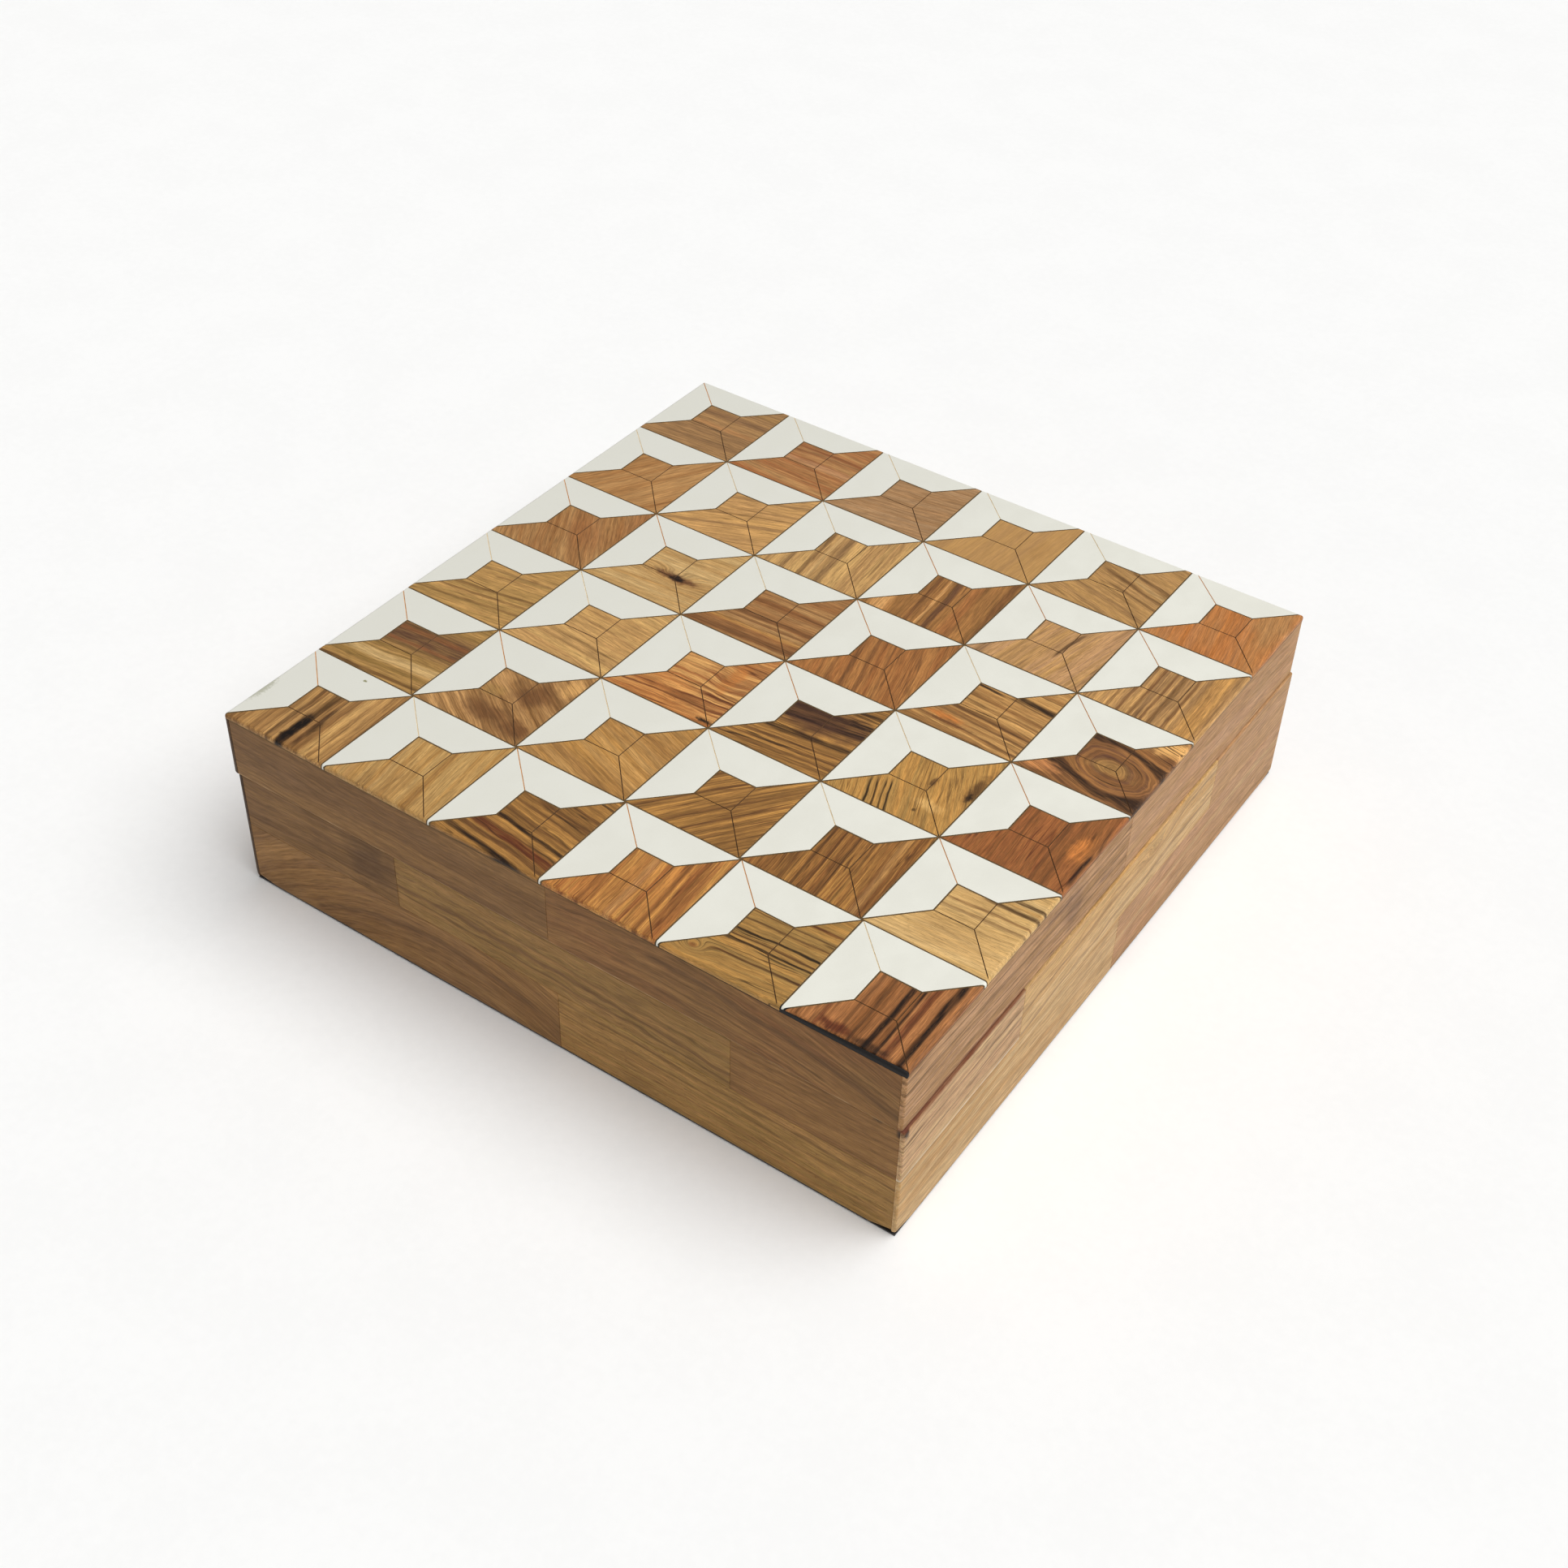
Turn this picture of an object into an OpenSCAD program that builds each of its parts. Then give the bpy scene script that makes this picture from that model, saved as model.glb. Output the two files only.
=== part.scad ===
// Square wooden box with an inlaid, hinged lid.
// Millimetres. The origin is the centre of the underside: +X right, +Y back, +Z up.
// The lid is drawn closed. It turns about a line behind the back face, at the height of the seam.

/* [Box] */
// Side of the square base and of the square lid
box_side = 203; // [180:1:240]
// Height of the closed box
total_height = 57; // [54:0.5:66]
// Height of the base's rim above the surface that the box stands on
base_height = 37; // [34:0.5:40]
// Gap between the base's rim and the lid's rim
seam_gap = 0.3; // [0.2:0.05:0.5]
// How far the lid sits to the left of the base
lid_left = 0.45; // [0:0.05:0.6]
// How far the lid sits forward of the base
lid_forward = 0.6; // [0:0.05:0.8]

/* [Walls and panels] */
// Thickness of the four boards under the side strips
wall_thickness = 7; // [5:0.5:8]
// Thickness of the base's floor panel
floor_thickness = 4; // [3:0.5:6]
// Thickness of the lid's panel, under the inlay
lid_panel_thickness = 6; // [4:0.5:8]
// Thickness of the felt on the floor, inside
lining_thickness = 0.8; // [0.5:0.1:1.5]
// Thickness of the black sheet under the base
underside_thickness = 0.6; // [0.4:0.1:1]
// How far the underside sheet stays back from the side faces
underside_inset = 0.3; // [0.1:0.1:3]

/* [Side strips] */
// Thickness of the strips that clad the four sides
strip_thickness = 1.2; // [1:0.1:2.5]
// Height at which the base's lower course ends and its upper course begins
course_height = 20; // [15:0.5:25]
// First joint of the base's upper course, as a share of the side, from the left end seen from outside
upper_joint_1 = 0.263; // [0.2:0.001:0.3]
// Second joint of the base's upper course
upper_joint_2 = 0.768; // [0.7:0.001:0.8]
// Joint of the base's lower course
lower_joint = 0.515; // [0.45:0.001:0.55]
// Joint of the lid's single course
lid_joint = 0.51; // [0.45:0.001:0.55]

/* [Inlay] */
// Rows and columns of tiles on the lid
tile_count = 6; // [4:1:6]
// Thickness of the inlaid pieces
inlay_thickness = 1.4; // [1:0.1:2]
// Thickness of the dark filler that the pieces are bedded in
bed_thickness = 0.3; // [0.2:0.05:0.5]
// Width of the filled line between two pieces
filler_line = 0.4; // [0.2:0.05:0.6]
// How far the outer tiles are cut short at the left edge
trim_left = 1.7; // [0.8:0.1:2.5]
// How far the outer tiles are cut short at the right edge
trim_right = 0.5; // [0.1:0.1:2]
// How far the outer tiles are cut short at the front edge
trim_front = 0.9; // [0.1:0.1:2]
// How far the front row is laid further right than the others
front_row_shift = 0.7; // [0:0.1:0.7]
// Left side of the small square in a tile, as a share of the tile
square_left = 0.35; // [0.3:0.01:0.4]
// Right side of the small square
square_right = 0.67; // [0.6:0.01:0.7]
// Front side of the small square
square_front = 0.36; // [0.3:0.01:0.4]
// Back side of the small square
square_back = 0.67; // [0.6:0.01:0.7]

/* [Hinges] */
// Distance of each hinge's middle from the middle of the back
hinge_x = 68; // [62:1:74]
// Length of a hinge along the back
hinge_length = 24; // [20:1:28]
// Thickness of a hinge leaf
leaf_thickness = 1; // [0.8:0.1:1.2]
// Distance from the hinge's axis to the leaf's inner end
leaf_reach = 10; // [9:0.1:10]
// Distance from the base's back face to the hinge's axis
axis_outset = 2.2; // [2:0.1:3]
// Outer radius of the knuckles
barrel_radius = 1.6; // [1.4:0.1:1.7]
// Radius of the hinge pins
pin_radius = 0.7; // [0.5:0.05:0.9]
// How far the lid opens before the hinges' heels meet
opening_angle = 100; // [95:1:105]
// Radius of a hinge screw's shank
screw_radius = 0.9; // [0.7:0.1:1]
// Length of a hinge screw, with its head
screw_length = 6.5; // [5:0.5:8]

/* [Hidden] */
$fn = 48;
half_side = box_side / 2;
inner_half = half_side - strip_thickness;
room_half = inner_half - wall_thickness;

// Heights in the base
floor_top = underside_thickness + floor_thickness;

// Heights in the lid
lid_bottom = base_height + seam_gap;
inlay_bottom = total_height - inlay_thickness;
bed_bottom = inlay_bottom - bed_thickness;
panel_bottom = bed_bottom - lid_panel_thickness;
line_top_drop = 0.1;

// Tiles: every tile is a full square, and the lid's edges cut the outer ones short
pitch = (box_side + trim_left + trim_right) / tile_count;
chevron = [[0, 0], [square_left, square_front], [square_left, square_back],
           [square_right, square_back], [1, 1], [0, 1]];
wood_shape = [[0, 0], [1, 0], [1, 1], [square_right, square_back],
              [square_left, square_back], [square_left, square_front]];

// Hinges: the axis lies midway in the seam
axis_y = half_side + axis_outset;
axis_z = base_height + seam_gap / 2;
knuckle_gap = 0.2;
knuckle_length = (hinge_length - 2 * knuckle_gap) / 3;
barrel_clearance = 0.3;
clearance_margin = knuckle_gap + 0.05;
pin_fit = 0.02;
running_fit = 0.05;
heel_length = 3;
heel_end = 0.4;
heel_thickness = 0.8;
heel_root = barrel_radius - 0.3;
heel_angle = opening_angle / 2 + 0.5;
recess_clearance = 0.05;
screw_x = 7;
screw_y = -7.5;
screw_head_radius = 1.7;
screw_point = 1.5;
slot_width = 0.5;
slot_depth = 0.35;

// Colours
mdf = "#a98055";
resin_white = "#eeeee6";
filler_brown = "#5b4a2e";
felt_black = "#1c1b1b";
lining_black = "#2a2624";
brass = "#c9a24a";
inlay_woods = ["#a8743c", "#a1743f", "#b07a42", "#a06a39", "#b98a52", "#a5653b"];
lid_woods = [["#8a6540", "#8a6038"], ["#c39a74", "#bf946f"], ["#9a7346", "#a57b4d"], ["#b58a5c", "#9c7449"]];
upper_woods = [["#8a6338", "#93713f", "#93703f"], ["#cda774", "#cfb27e", "#bd8f69"],
               ["#a17a4b", "#8f6a3e", "#b18a58"], ["#a9814f", "#bb935f", "#977044"]];
lower_woods = [["#8c673a", "#94713e"], ["#c79c62", "#c49a70"], ["#9d7648", "#b28a57"], ["#8f6b40", "#ab8352"]];

// The four faces, turning from the front to the right, the back and the left
FACES = ["front", "right", "back", "left"];
PLACES = [["left", "middle", "right"], ["front", "middle", "back"],
          ["right", "middle", "left"], ["back", "middle", "front"]];
SIDES = ["left", "right"];

// One course of strips on face k: [name, face, from, to, bottom, top, colour] for each strip
function course(part, k, places, joints, bottom, top, woods) =
    [for (i = [0 : len(places) - 1])
        [str(part, "_strip_", FACES[k], places[i]), k, joints[i] * box_side, joints[i + 1] * box_side,
         bottom, top, woods[i]]];

function outer_places(k, level) = [str(level, PLACES[k][0]), str(level, PLACES[k][2])];
function all_places(k, level) = [for (place = PLACES[k]) str(level, place)];

// On the left and right faces the lid's strips reach the inlay; in front and behind, the filler's edge shows
function lid_strip_top(k) = k % 2 == 0 ? bed_bottom : inlay_bottom;

BASE_STRIPS = [for (k = [0 : 3]) each concat(
    course("base", k, all_places(k, "_upper_"), [0, upper_joint_1, upper_joint_2, 1],
           course_height, base_height, upper_woods[k]),
    course("base", k, outer_places(k, "_lower_"), [0, lower_joint, 1],
           underside_thickness, course_height, lower_woods[k]))];
LID_STRIPS = [for (k = [0 : 3]) each
    course("lid", k, outer_places(k, "_"), [0, lid_joint, 1], lid_bottom, lid_strip_top(k), lid_woods[k])];

// ---- Shapes shared by several pieces ----

// A block between two opposite corners
module block(low, high) {
    translate(low)
        cube(high - low);
}

// Moves a piece of the lid to where the lid sits on the base
module on_lid() {
    translate([-lid_left, -lid_forward, 0])
        children();
}

// The middle of a hinge's axis, on the left (-1) or the right (1)
module at_hinge(side) {
    translate([side * hinge_x, axis_y, axis_z])
        children();
}

// A round bar along X, from x1 to x2
module bar_x(radius, x1, x2) {
    translate([x1, 0, 0])
        rotate([0, 90, 0])
            cylinder(r = radius, h = x2 - x1);
}

// ---- Side strips ----

// Front and back strips stop between the left and right ones, whose ends show at the corners
module strip(s) {
    end_cut = s[1] % 2 == 0 ? strip_thickness : 0;
    from = max(s[2], end_cut);
    to = min(s[3], box_side - end_cut);
    color(s[6])
        rotate([0, 0, 90 * s[1]])
            block([from - half_side, -half_side, s[4]], [to - half_side, -inner_half, s[5]]);
}

module base_strip(s) {
    difference() {
        strip(s);
        hinge_recesses(-1);
    }
}

module lid_strip(s) {
    difference() {
        on_lid() strip(s);
        hinge_recesses(1);
    }
}

// ---- Boards and panels ----

// One of four boards that butt at the corners: front and back run through
module wall(k, bottom, top) {
    half_length = k % 2 == 0 ? inner_half : room_half;
    rotate([0, 0, 90 * k])
        block([-half_length, -inner_half, bottom], [half_length, -room_half, top]);
}

module base_wall(k) {
    color(mdf)
        difference() {
            wall(k, underside_thickness, base_height);
            hinge_recesses(-1);
            screw_holes(-1);
        }
}

module lid_wall(k) {
    color(mdf)
        difference() {
            on_lid() wall(k, lid_bottom, panel_bottom);
            hinge_recesses(1);
            screw_holes(1);
        }
}

module floor_panel() {
    color(mdf)
        block([-room_half, -room_half, underside_thickness], [room_half, room_half, floor_top]);
}

module floor_lining() {
    color(lining_black)
        block([-room_half, -room_half, floor_top], [room_half, room_half, floor_top + lining_thickness]);
}

module underside_felt() {
    reach = half_side - underside_inset;
    color(felt_black)
        block([-reach, -reach, 0], [reach, reach, underside_thickness]);
}

module lid_panel() {
    color(mdf)
        on_lid()
            block([-inner_half, -inner_half, panel_bottom], [inner_half, inner_half, bed_bottom]);
}

// ---- Inlay ----

function unit(v) = v / norm(v);
function left_normal(v) = [-v[1], v[0]];

// The corner b between a and c, with both of its sides moved inwards by d
function inset_corner(a, b, c, d) =
    let (n1 = left_normal(unit(b - a)), n2 = left_normal(unit(c - b)))
    b + (n1 + n2) * d / (1 + n1 * n2);

// A counter-clockwise outline with every side moved inwards by d
function inset(points, d) =
    let (n = len(points))
    [for (i = [0 : n - 1]) inset_corner(points[(i + n - 1) % n], points[i], points[(i + 1) % n], d)];

// The pieces of one row, from the left to the right, cut off at the lid's edges
module row_pieces(shape, row, bottom, top) {
    shift = row == 1 ? front_row_shift : 0;
    outline = inset(pitch * shape, filler_line / 2);
    intersection() {
        for (column = [0 : tile_count - 1])
            translate([-half_side - trim_left + shift + column * pitch,
                       -half_side - trim_front + (row - 1) * pitch, bottom])
                linear_extrude(top - bottom)
                    polygon(outline);
        block([-half_side, -half_side, bottom], [half_side, half_side, top]);
    }
}

// White L-shaped pieces, one in each tile
module resin_row(row) {
    color(resin_white)
        on_lid()
            row_pieces(chevron, row, inlay_bottom, total_height);
}

// Wooden pieces: the small square and the tile's front and right sides in one piece
module wood_row(row) {
    color(inlay_woods[(row - 1) % len(inlay_woods)])
        on_lid()
            row_pieces(wood_shape, row, inlay_bottom, total_height);
}

// The bed under the pieces and the filled lines between them
module inlay_filler() {
    color(filler_brown)
        on_lid()
            difference() {
                union() {
                    block([-inner_half, -half_side, bed_bottom], [inner_half, half_side, inlay_bottom]);
                    block([-half_side, -half_side, inlay_bottom],
                          [half_side, half_side, total_height - line_top_drop]);
                }
                for (row = [1 : tile_count]) {
                    row_pieces(chevron, row, inlay_bottom, total_height + 1);
                    row_pieces(wood_shape, row, inlay_bottom, total_height + 1);
                }
            }
}

// ---- Hinges, drawn with their axis along X through the origin ----
// level is -1 for the base's leaf and its screws, and 1 for the lid's

// The side of the seam that a leaf lies on
module leaf_level(level) {
    mirror([0, 0, level < 0 ? 1 : 0])
        children();
}

// The plate that is let into the rim
module leaf_plate() {
    block([-hinge_length / 2, -leaf_reach, seam_gap / 2], [hinge_length / 2, 0, seam_gap / 2 + leaf_thickness]);
}

// The heel: a plate behind the barrel, whose lower face meets the other leaf's heel when the lid is open
module heel(half_length) {
    rotate([heel_angle, 0, 0])
        block([-half_length, heel_root, 0], [half_length, heel_root + heel_length, heel_thickness]);
}

// A screw hole with its countersink
module leaf_hole(x) {
    translate([x, screw_y, seam_gap / 2]) {
        cylinder(r = screw_radius + running_fit, h = leaf_thickness);
        cylinder(r1 = screw_head_radius + running_fit, r2 = screw_radius + running_fit,
                 h = screw_head_radius - screw_radius);
    }
}

module middle_knuckle(radius, margin) {
    bar_x(radius, -knuckle_length / 2 - margin, knuckle_length / 2 + margin);
}

module outer_knuckles(radius, margin) {
    for (side = [-1, 1])
        translate([side * (hinge_length - knuckle_length) / 2, 0, 0])
            middle_knuckle(radius, margin);
}

// The base's leaf has the two outer knuckles, and its heel bridges them behind the middle one
module hinge_leaf_base(side) {
    color(brass)
        at_hinge(side)
            leaf_level(-1)
                difference() {
                    union() {
                        outer_knuckles(barrel_radius, 0);
                        difference() {
                            union() {
                                leaf_plate();
                                heel(hinge_length / 2 - heel_end);
                            }
                            middle_knuckle(barrel_radius + barrel_clearance, clearance_margin);
                        }
                    }
                    bar_x(pin_radius + pin_fit, -hinge_length, hinge_length);
                    for (x = [-screw_x, screw_x])
                        leaf_hole(x);
                }
}

// The lid's leaf has the middle knuckle
module hinge_leaf_lid(side) {
    color(brass)
        at_hinge(side)
            leaf_level(1)
                difference() {
                    union() {
                        middle_knuckle(barrel_radius, 0);
                        heel(knuckle_length / 2 - heel_end);
                        difference() {
                            leaf_plate();
                            outer_knuckles(barrel_radius + barrel_clearance, clearance_margin);
                        }
                    }
                    bar_x(pin_radius + running_fit, -hinge_length, hinge_length);
                    for (x = [-screw_x, screw_x])
                        leaf_hole(x);
                }
}

module hinge_pins() {
    color(brass)
        for (side = [-1, 1])
            at_hinge(side)
                bar_x(pin_radius, -hinge_length / 2, hinge_length / 2);
}

// A countersunk wood screw, head towards the seam, with a straight slot
module hinge_screw() {
    head = screw_head_radius - screw_radius;
    difference() {
        union() {
            cylinder(r1 = screw_head_radius, r2 = screw_radius, h = head);
            cylinder(r = screw_radius, h = screw_length - screw_point);
            translate([0, 0, screw_length - screw_point])
                cylinder(r1 = screw_radius, r2 = 0.1, h = screw_point);
        }
        block([-screw_head_radius, -slot_width / 2, 0], [screw_head_radius, slot_width / 2, slot_depth]);
    }
}

// Children placed at every screw of the base's (-1) or the lid's (1) leaves
module at_screws(level) {
    for (side = [-1, 1])
        at_hinge(side)
            leaf_level(level)
                for (x = [-screw_x, screw_x])
                    translate([x, screw_y, seam_gap / 2])
                        children();
}

module hinge_screws(level) {
    color(brass)
        at_screws(level) hinge_screw();
}

module screw_holes(level) {
    at_screws(level)
        cylinder(r = screw_radius + pin_fit, h = screw_length);
}

// Recesses for the leaves in the rims
module hinge_recesses(level) {
    for (side = [-1, 1])
        at_hinge(side)
            leaf_level(level)
                block([-hinge_length / 2 - recess_clearance, -leaf_reach - recess_clearance, -1],
                      [hinge_length / 2 + recess_clearance, 0, seam_gap / 2 + leaf_thickness]);
}

// ---- The object ----

floor_panel();
floor_lining();
underside_felt();
for (k = [0 : 3]) {
    base_wall(k);
    lid_wall(k);
}
for (s = BASE_STRIPS)
    base_strip(s);
for (s = LID_STRIPS)
    lid_strip(s);
lid_panel();
inlay_filler();
for (row = [1 : tile_count]) {
    resin_row(row);
    wood_row(row);
}
for (i = [0, 1]) {
    hinge_leaf_base(2 * i - 1);
    hinge_leaf_lid(2 * i - 1);
}
hinge_pins();
hinge_screws(-1);  // hinge_screws_base
hinge_screws(1);  // hinge_screws_lid
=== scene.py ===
import math
import random

import bpy
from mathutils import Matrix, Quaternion, Vector, noise


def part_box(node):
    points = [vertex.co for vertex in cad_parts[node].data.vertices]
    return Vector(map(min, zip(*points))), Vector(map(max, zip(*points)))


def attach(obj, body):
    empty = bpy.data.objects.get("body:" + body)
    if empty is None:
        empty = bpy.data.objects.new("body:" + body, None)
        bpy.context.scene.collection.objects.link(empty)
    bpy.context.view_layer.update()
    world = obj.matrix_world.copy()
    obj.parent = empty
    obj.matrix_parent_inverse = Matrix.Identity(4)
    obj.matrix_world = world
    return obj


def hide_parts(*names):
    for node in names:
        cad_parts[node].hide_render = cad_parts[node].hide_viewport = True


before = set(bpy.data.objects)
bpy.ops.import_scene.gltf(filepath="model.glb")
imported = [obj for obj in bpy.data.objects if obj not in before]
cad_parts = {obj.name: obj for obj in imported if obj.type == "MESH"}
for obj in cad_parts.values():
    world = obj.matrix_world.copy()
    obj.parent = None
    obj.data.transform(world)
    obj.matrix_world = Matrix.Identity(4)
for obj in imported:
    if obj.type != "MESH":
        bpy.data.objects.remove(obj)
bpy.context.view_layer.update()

# ---- sizes, in metres

MM = 0.001
QUARTER_TURN = math.pi / 2
TILES = 6
FILLER_LINE = 0.4 * MM
TRIM_LEFT = 1.7 * MM
TRIM_FRONT = 0.9 * MM
FRONT_ROW_SHIFT = 0.7 * MM
SQUARE_LEFT, SQUARE_RIGHT, SQUARE_FRONT, SQUARE_BACK = 0.35, 0.67, 0.36, 0.67
LID_ARRIS = 0.75 * MM
TILE_ARRIS = 0.1 * MM
LID_CORNER_CUT = 0.3 * MM

RESIN_SHAPE = [(0, 0), (SQUARE_LEFT, SQUARE_FRONT), (SQUARE_LEFT, SQUARE_BACK),
               (SQUARE_RIGHT, SQUARE_BACK), (1, 1), (0, 1)]
WOOD_SHAPE = [(0, 0), (1, 0), (1, 1), (SQUARE_RIGHT, SQUARE_BACK),
              (SQUARE_LEFT, SQUARE_BACK), (SQUARE_LEFT, SQUARE_FRONT)]

# Scored lines: three of them meet at one corner of the square, and the others run out over the piece's edge
SCORE_WIDTH = 0.26 * MM
SCORE_DEPTH = 0.22 * MM
SCORE_ABOVE = 0.15 * MM
SCORE_PAST_EDGE = 0.6 * MM
SCORE_PAST_MEETING = 0.02 * MM
SCORES_MEET = (SQUARE_RIGHT, SQUARE_FRONT)
RESIN_SCORES = [((0, 1), (SQUARE_LEFT, SQUARE_BACK))]
WOOD_SCORES = [((SQUARE_LEFT, SQUARE_FRONT), SCORES_MEET), (SCORES_MEET, (SQUARE_RIGHT, SQUARE_BACK)),
               (SCORES_MEET, (1, 0))]

lid_low, lid_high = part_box("inlay_filler")
inlay_bottom, inlay_top = (corner.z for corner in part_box("resin_row_2"))
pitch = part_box("wood_row_3")[0].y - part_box("wood_row_2")[0].y
grid_left = lid_low.x - TRIM_LEFT
grid_front = lid_low.y - TRIM_FRONT

# ---- colours

TONES = {
    "straw": "#d8ad6b", "cream": "#dcb77c", "honey": "#c8995b", "golden": "#be8a47", "tan": "#b88c58",
    "olive": "#a38048", "brown": "#976839", "chestnut": "#8c582e", "russet": "#9a5d33", "umber": "#6b4527",
    "plum": "#5a3a2c", "black": "#2c1d15", "salmon": "#bd7e4b", "grey": "#947452", "amber": "#c27738",
    "rose": "#c5976d", "sand": "#d6b380", "maroon": "#6a2e1b", "shade": "#8a6743", "bark": "#6f4d29",
    "cocoa": "#7d572e", "clay": "#a07541", "moss": "#8f6e38",
}
LUMINANCE = (0.21, 0.72, 0.07)


def linear(tone):
    """A tone's name or a hex colour as linear RGBA."""
    code = TONES.get(tone, tone)
    channels = [int(code[i:i + 2], 16) / 255 for i in (1, 3, 5)]
    return (*[c / 12.92 if c <= 0.04045 else ((c + 0.055) / 1.055) ** 2.4 for c in channels], 1.0)


# ---- node trees

class Nodes:
    """Short calls that build one material's node tree. Sizes inside the tree are in millimetres."""

    def __init__(self, name):
        self.material = bpy.data.materials.new(name)
        self.material.use_nodes = True
        self.tree = self.material.node_tree
        self.shader = self.tree.nodes["Principled BSDF"]

    def feed(self, socket, value):
        if isinstance(value, bpy.types.NodeSocket):
            self.tree.links.new(value, socket)
        else:
            socket.default_value = value

    def add(self, kind, feeds=None, **settings):
        node = self.tree.nodes.new(kind)
        for key, value in settings.items():
            setattr(node, key, value)
        for key, value in (feeds or {}).items():
            self.feed(node.inputs[key], value)
        return node

    def math(self, operation, *values):
        return self.add("ShaderNodeMath", dict(enumerate(values)), operation=operation).outputs[0]

    def plus(self, a, b):
        return self.math("ADD", a, b)

    def minus(self, a, b):
        return self.math("SUBTRACT", a, b)

    def times(self, a, b):
        return self.math("MULTIPLY", a, b)

    def vector(self, operation, a, b=None, output=0):
        feeds = {0: a} if b is None else {0: a, 1: b}
        return self.add("ShaderNodeVectorMath", feeds, operation=operation).outputs[output]

    def length(self, vector):
        return self.vector("LENGTH", vector, output=1)

    def split(self, vector):
        return self.add("ShaderNodeSeparateXYZ", {0: vector}).outputs

    def join(self, x, y, z):
        return self.add("ShaderNodeCombineXYZ", {0: x, 1: y, 2: z}).outputs[0]

    def noise(self, vector, detail=2.0, roughness=0.5):
        feeds = {"Vector": vector, "Scale": 1.0, "Detail": detail, "Roughness": roughness}
        return self.add("ShaderNodeTexNoise", feeds).outputs[0]

    def warp(self, vector, scale, detail):
        """Noise with three channels, to push points about."""
        feeds = {"Vector": vector, "Scale": scale, "Detail": detail}
        return self.add("ShaderNodeTexNoise", feeds).outputs["Color"]

    def step(self, value, low, high, to_low=0.0, to_high=1.0):
        """Goes smoothly from to_low at low to to_high at high."""
        feeds = {"Value": value, "From Min": low, "From Max": high, "To Min": to_low, "To Max": to_high}
        return self.add("ShaderNodeMapRange", feeds, interpolation_type="SMOOTHSTEP").outputs[0]

    def mix(self, factor, a, b):
        return self.add("ShaderNodeMix", {0: factor, 6: a, 7: b}, data_type="RGBA").outputs[2]

    def paint(self, mark, colour, tone):
        """The colour with a tone laid over it, as strong as the mark."""
        return self.mix(mark, colour, linear(tone))

    def place(self, centre=(0, 0, 0), axes=(0, 1, 2)):
        """Object coordinates in mm from a point, with the axes in the order given."""
        where = self.add("ShaderNodeTexCoord").outputs["Object"]
        parts = self.split(self.vector("MULTIPLY", self.vector("SUBTRACT", where, centre), (1000,) * 3))
        return self.join(*[parts[i] for i in axes])

    def bump(self, height, depth_mm, strength):
        feeds = {"Height": height, "Distance": depth_mm * MM, "Strength": strength}
        self.feed(self.shader.inputs["Normal"], self.add("ShaderNodeBump", feeds).outputs[0])

    def finish(self, colour, roughness, **settings):
        """The material, with the shader's other inputs set by name."""
        self.feed(self.shader.inputs["Base Color"], colour)
        self.feed(self.shader.inputs["Roughness"], roughness)
        for key, value in settings.items():
            self.shader.inputs[key.replace("_", " ")].default_value = value
        return self.material


def turned(x, y, degrees):
    a = math.radians(degrees)
    return x * math.cos(a) - y * math.sin(a), x * math.sin(a) + y * math.cos(a)


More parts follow.
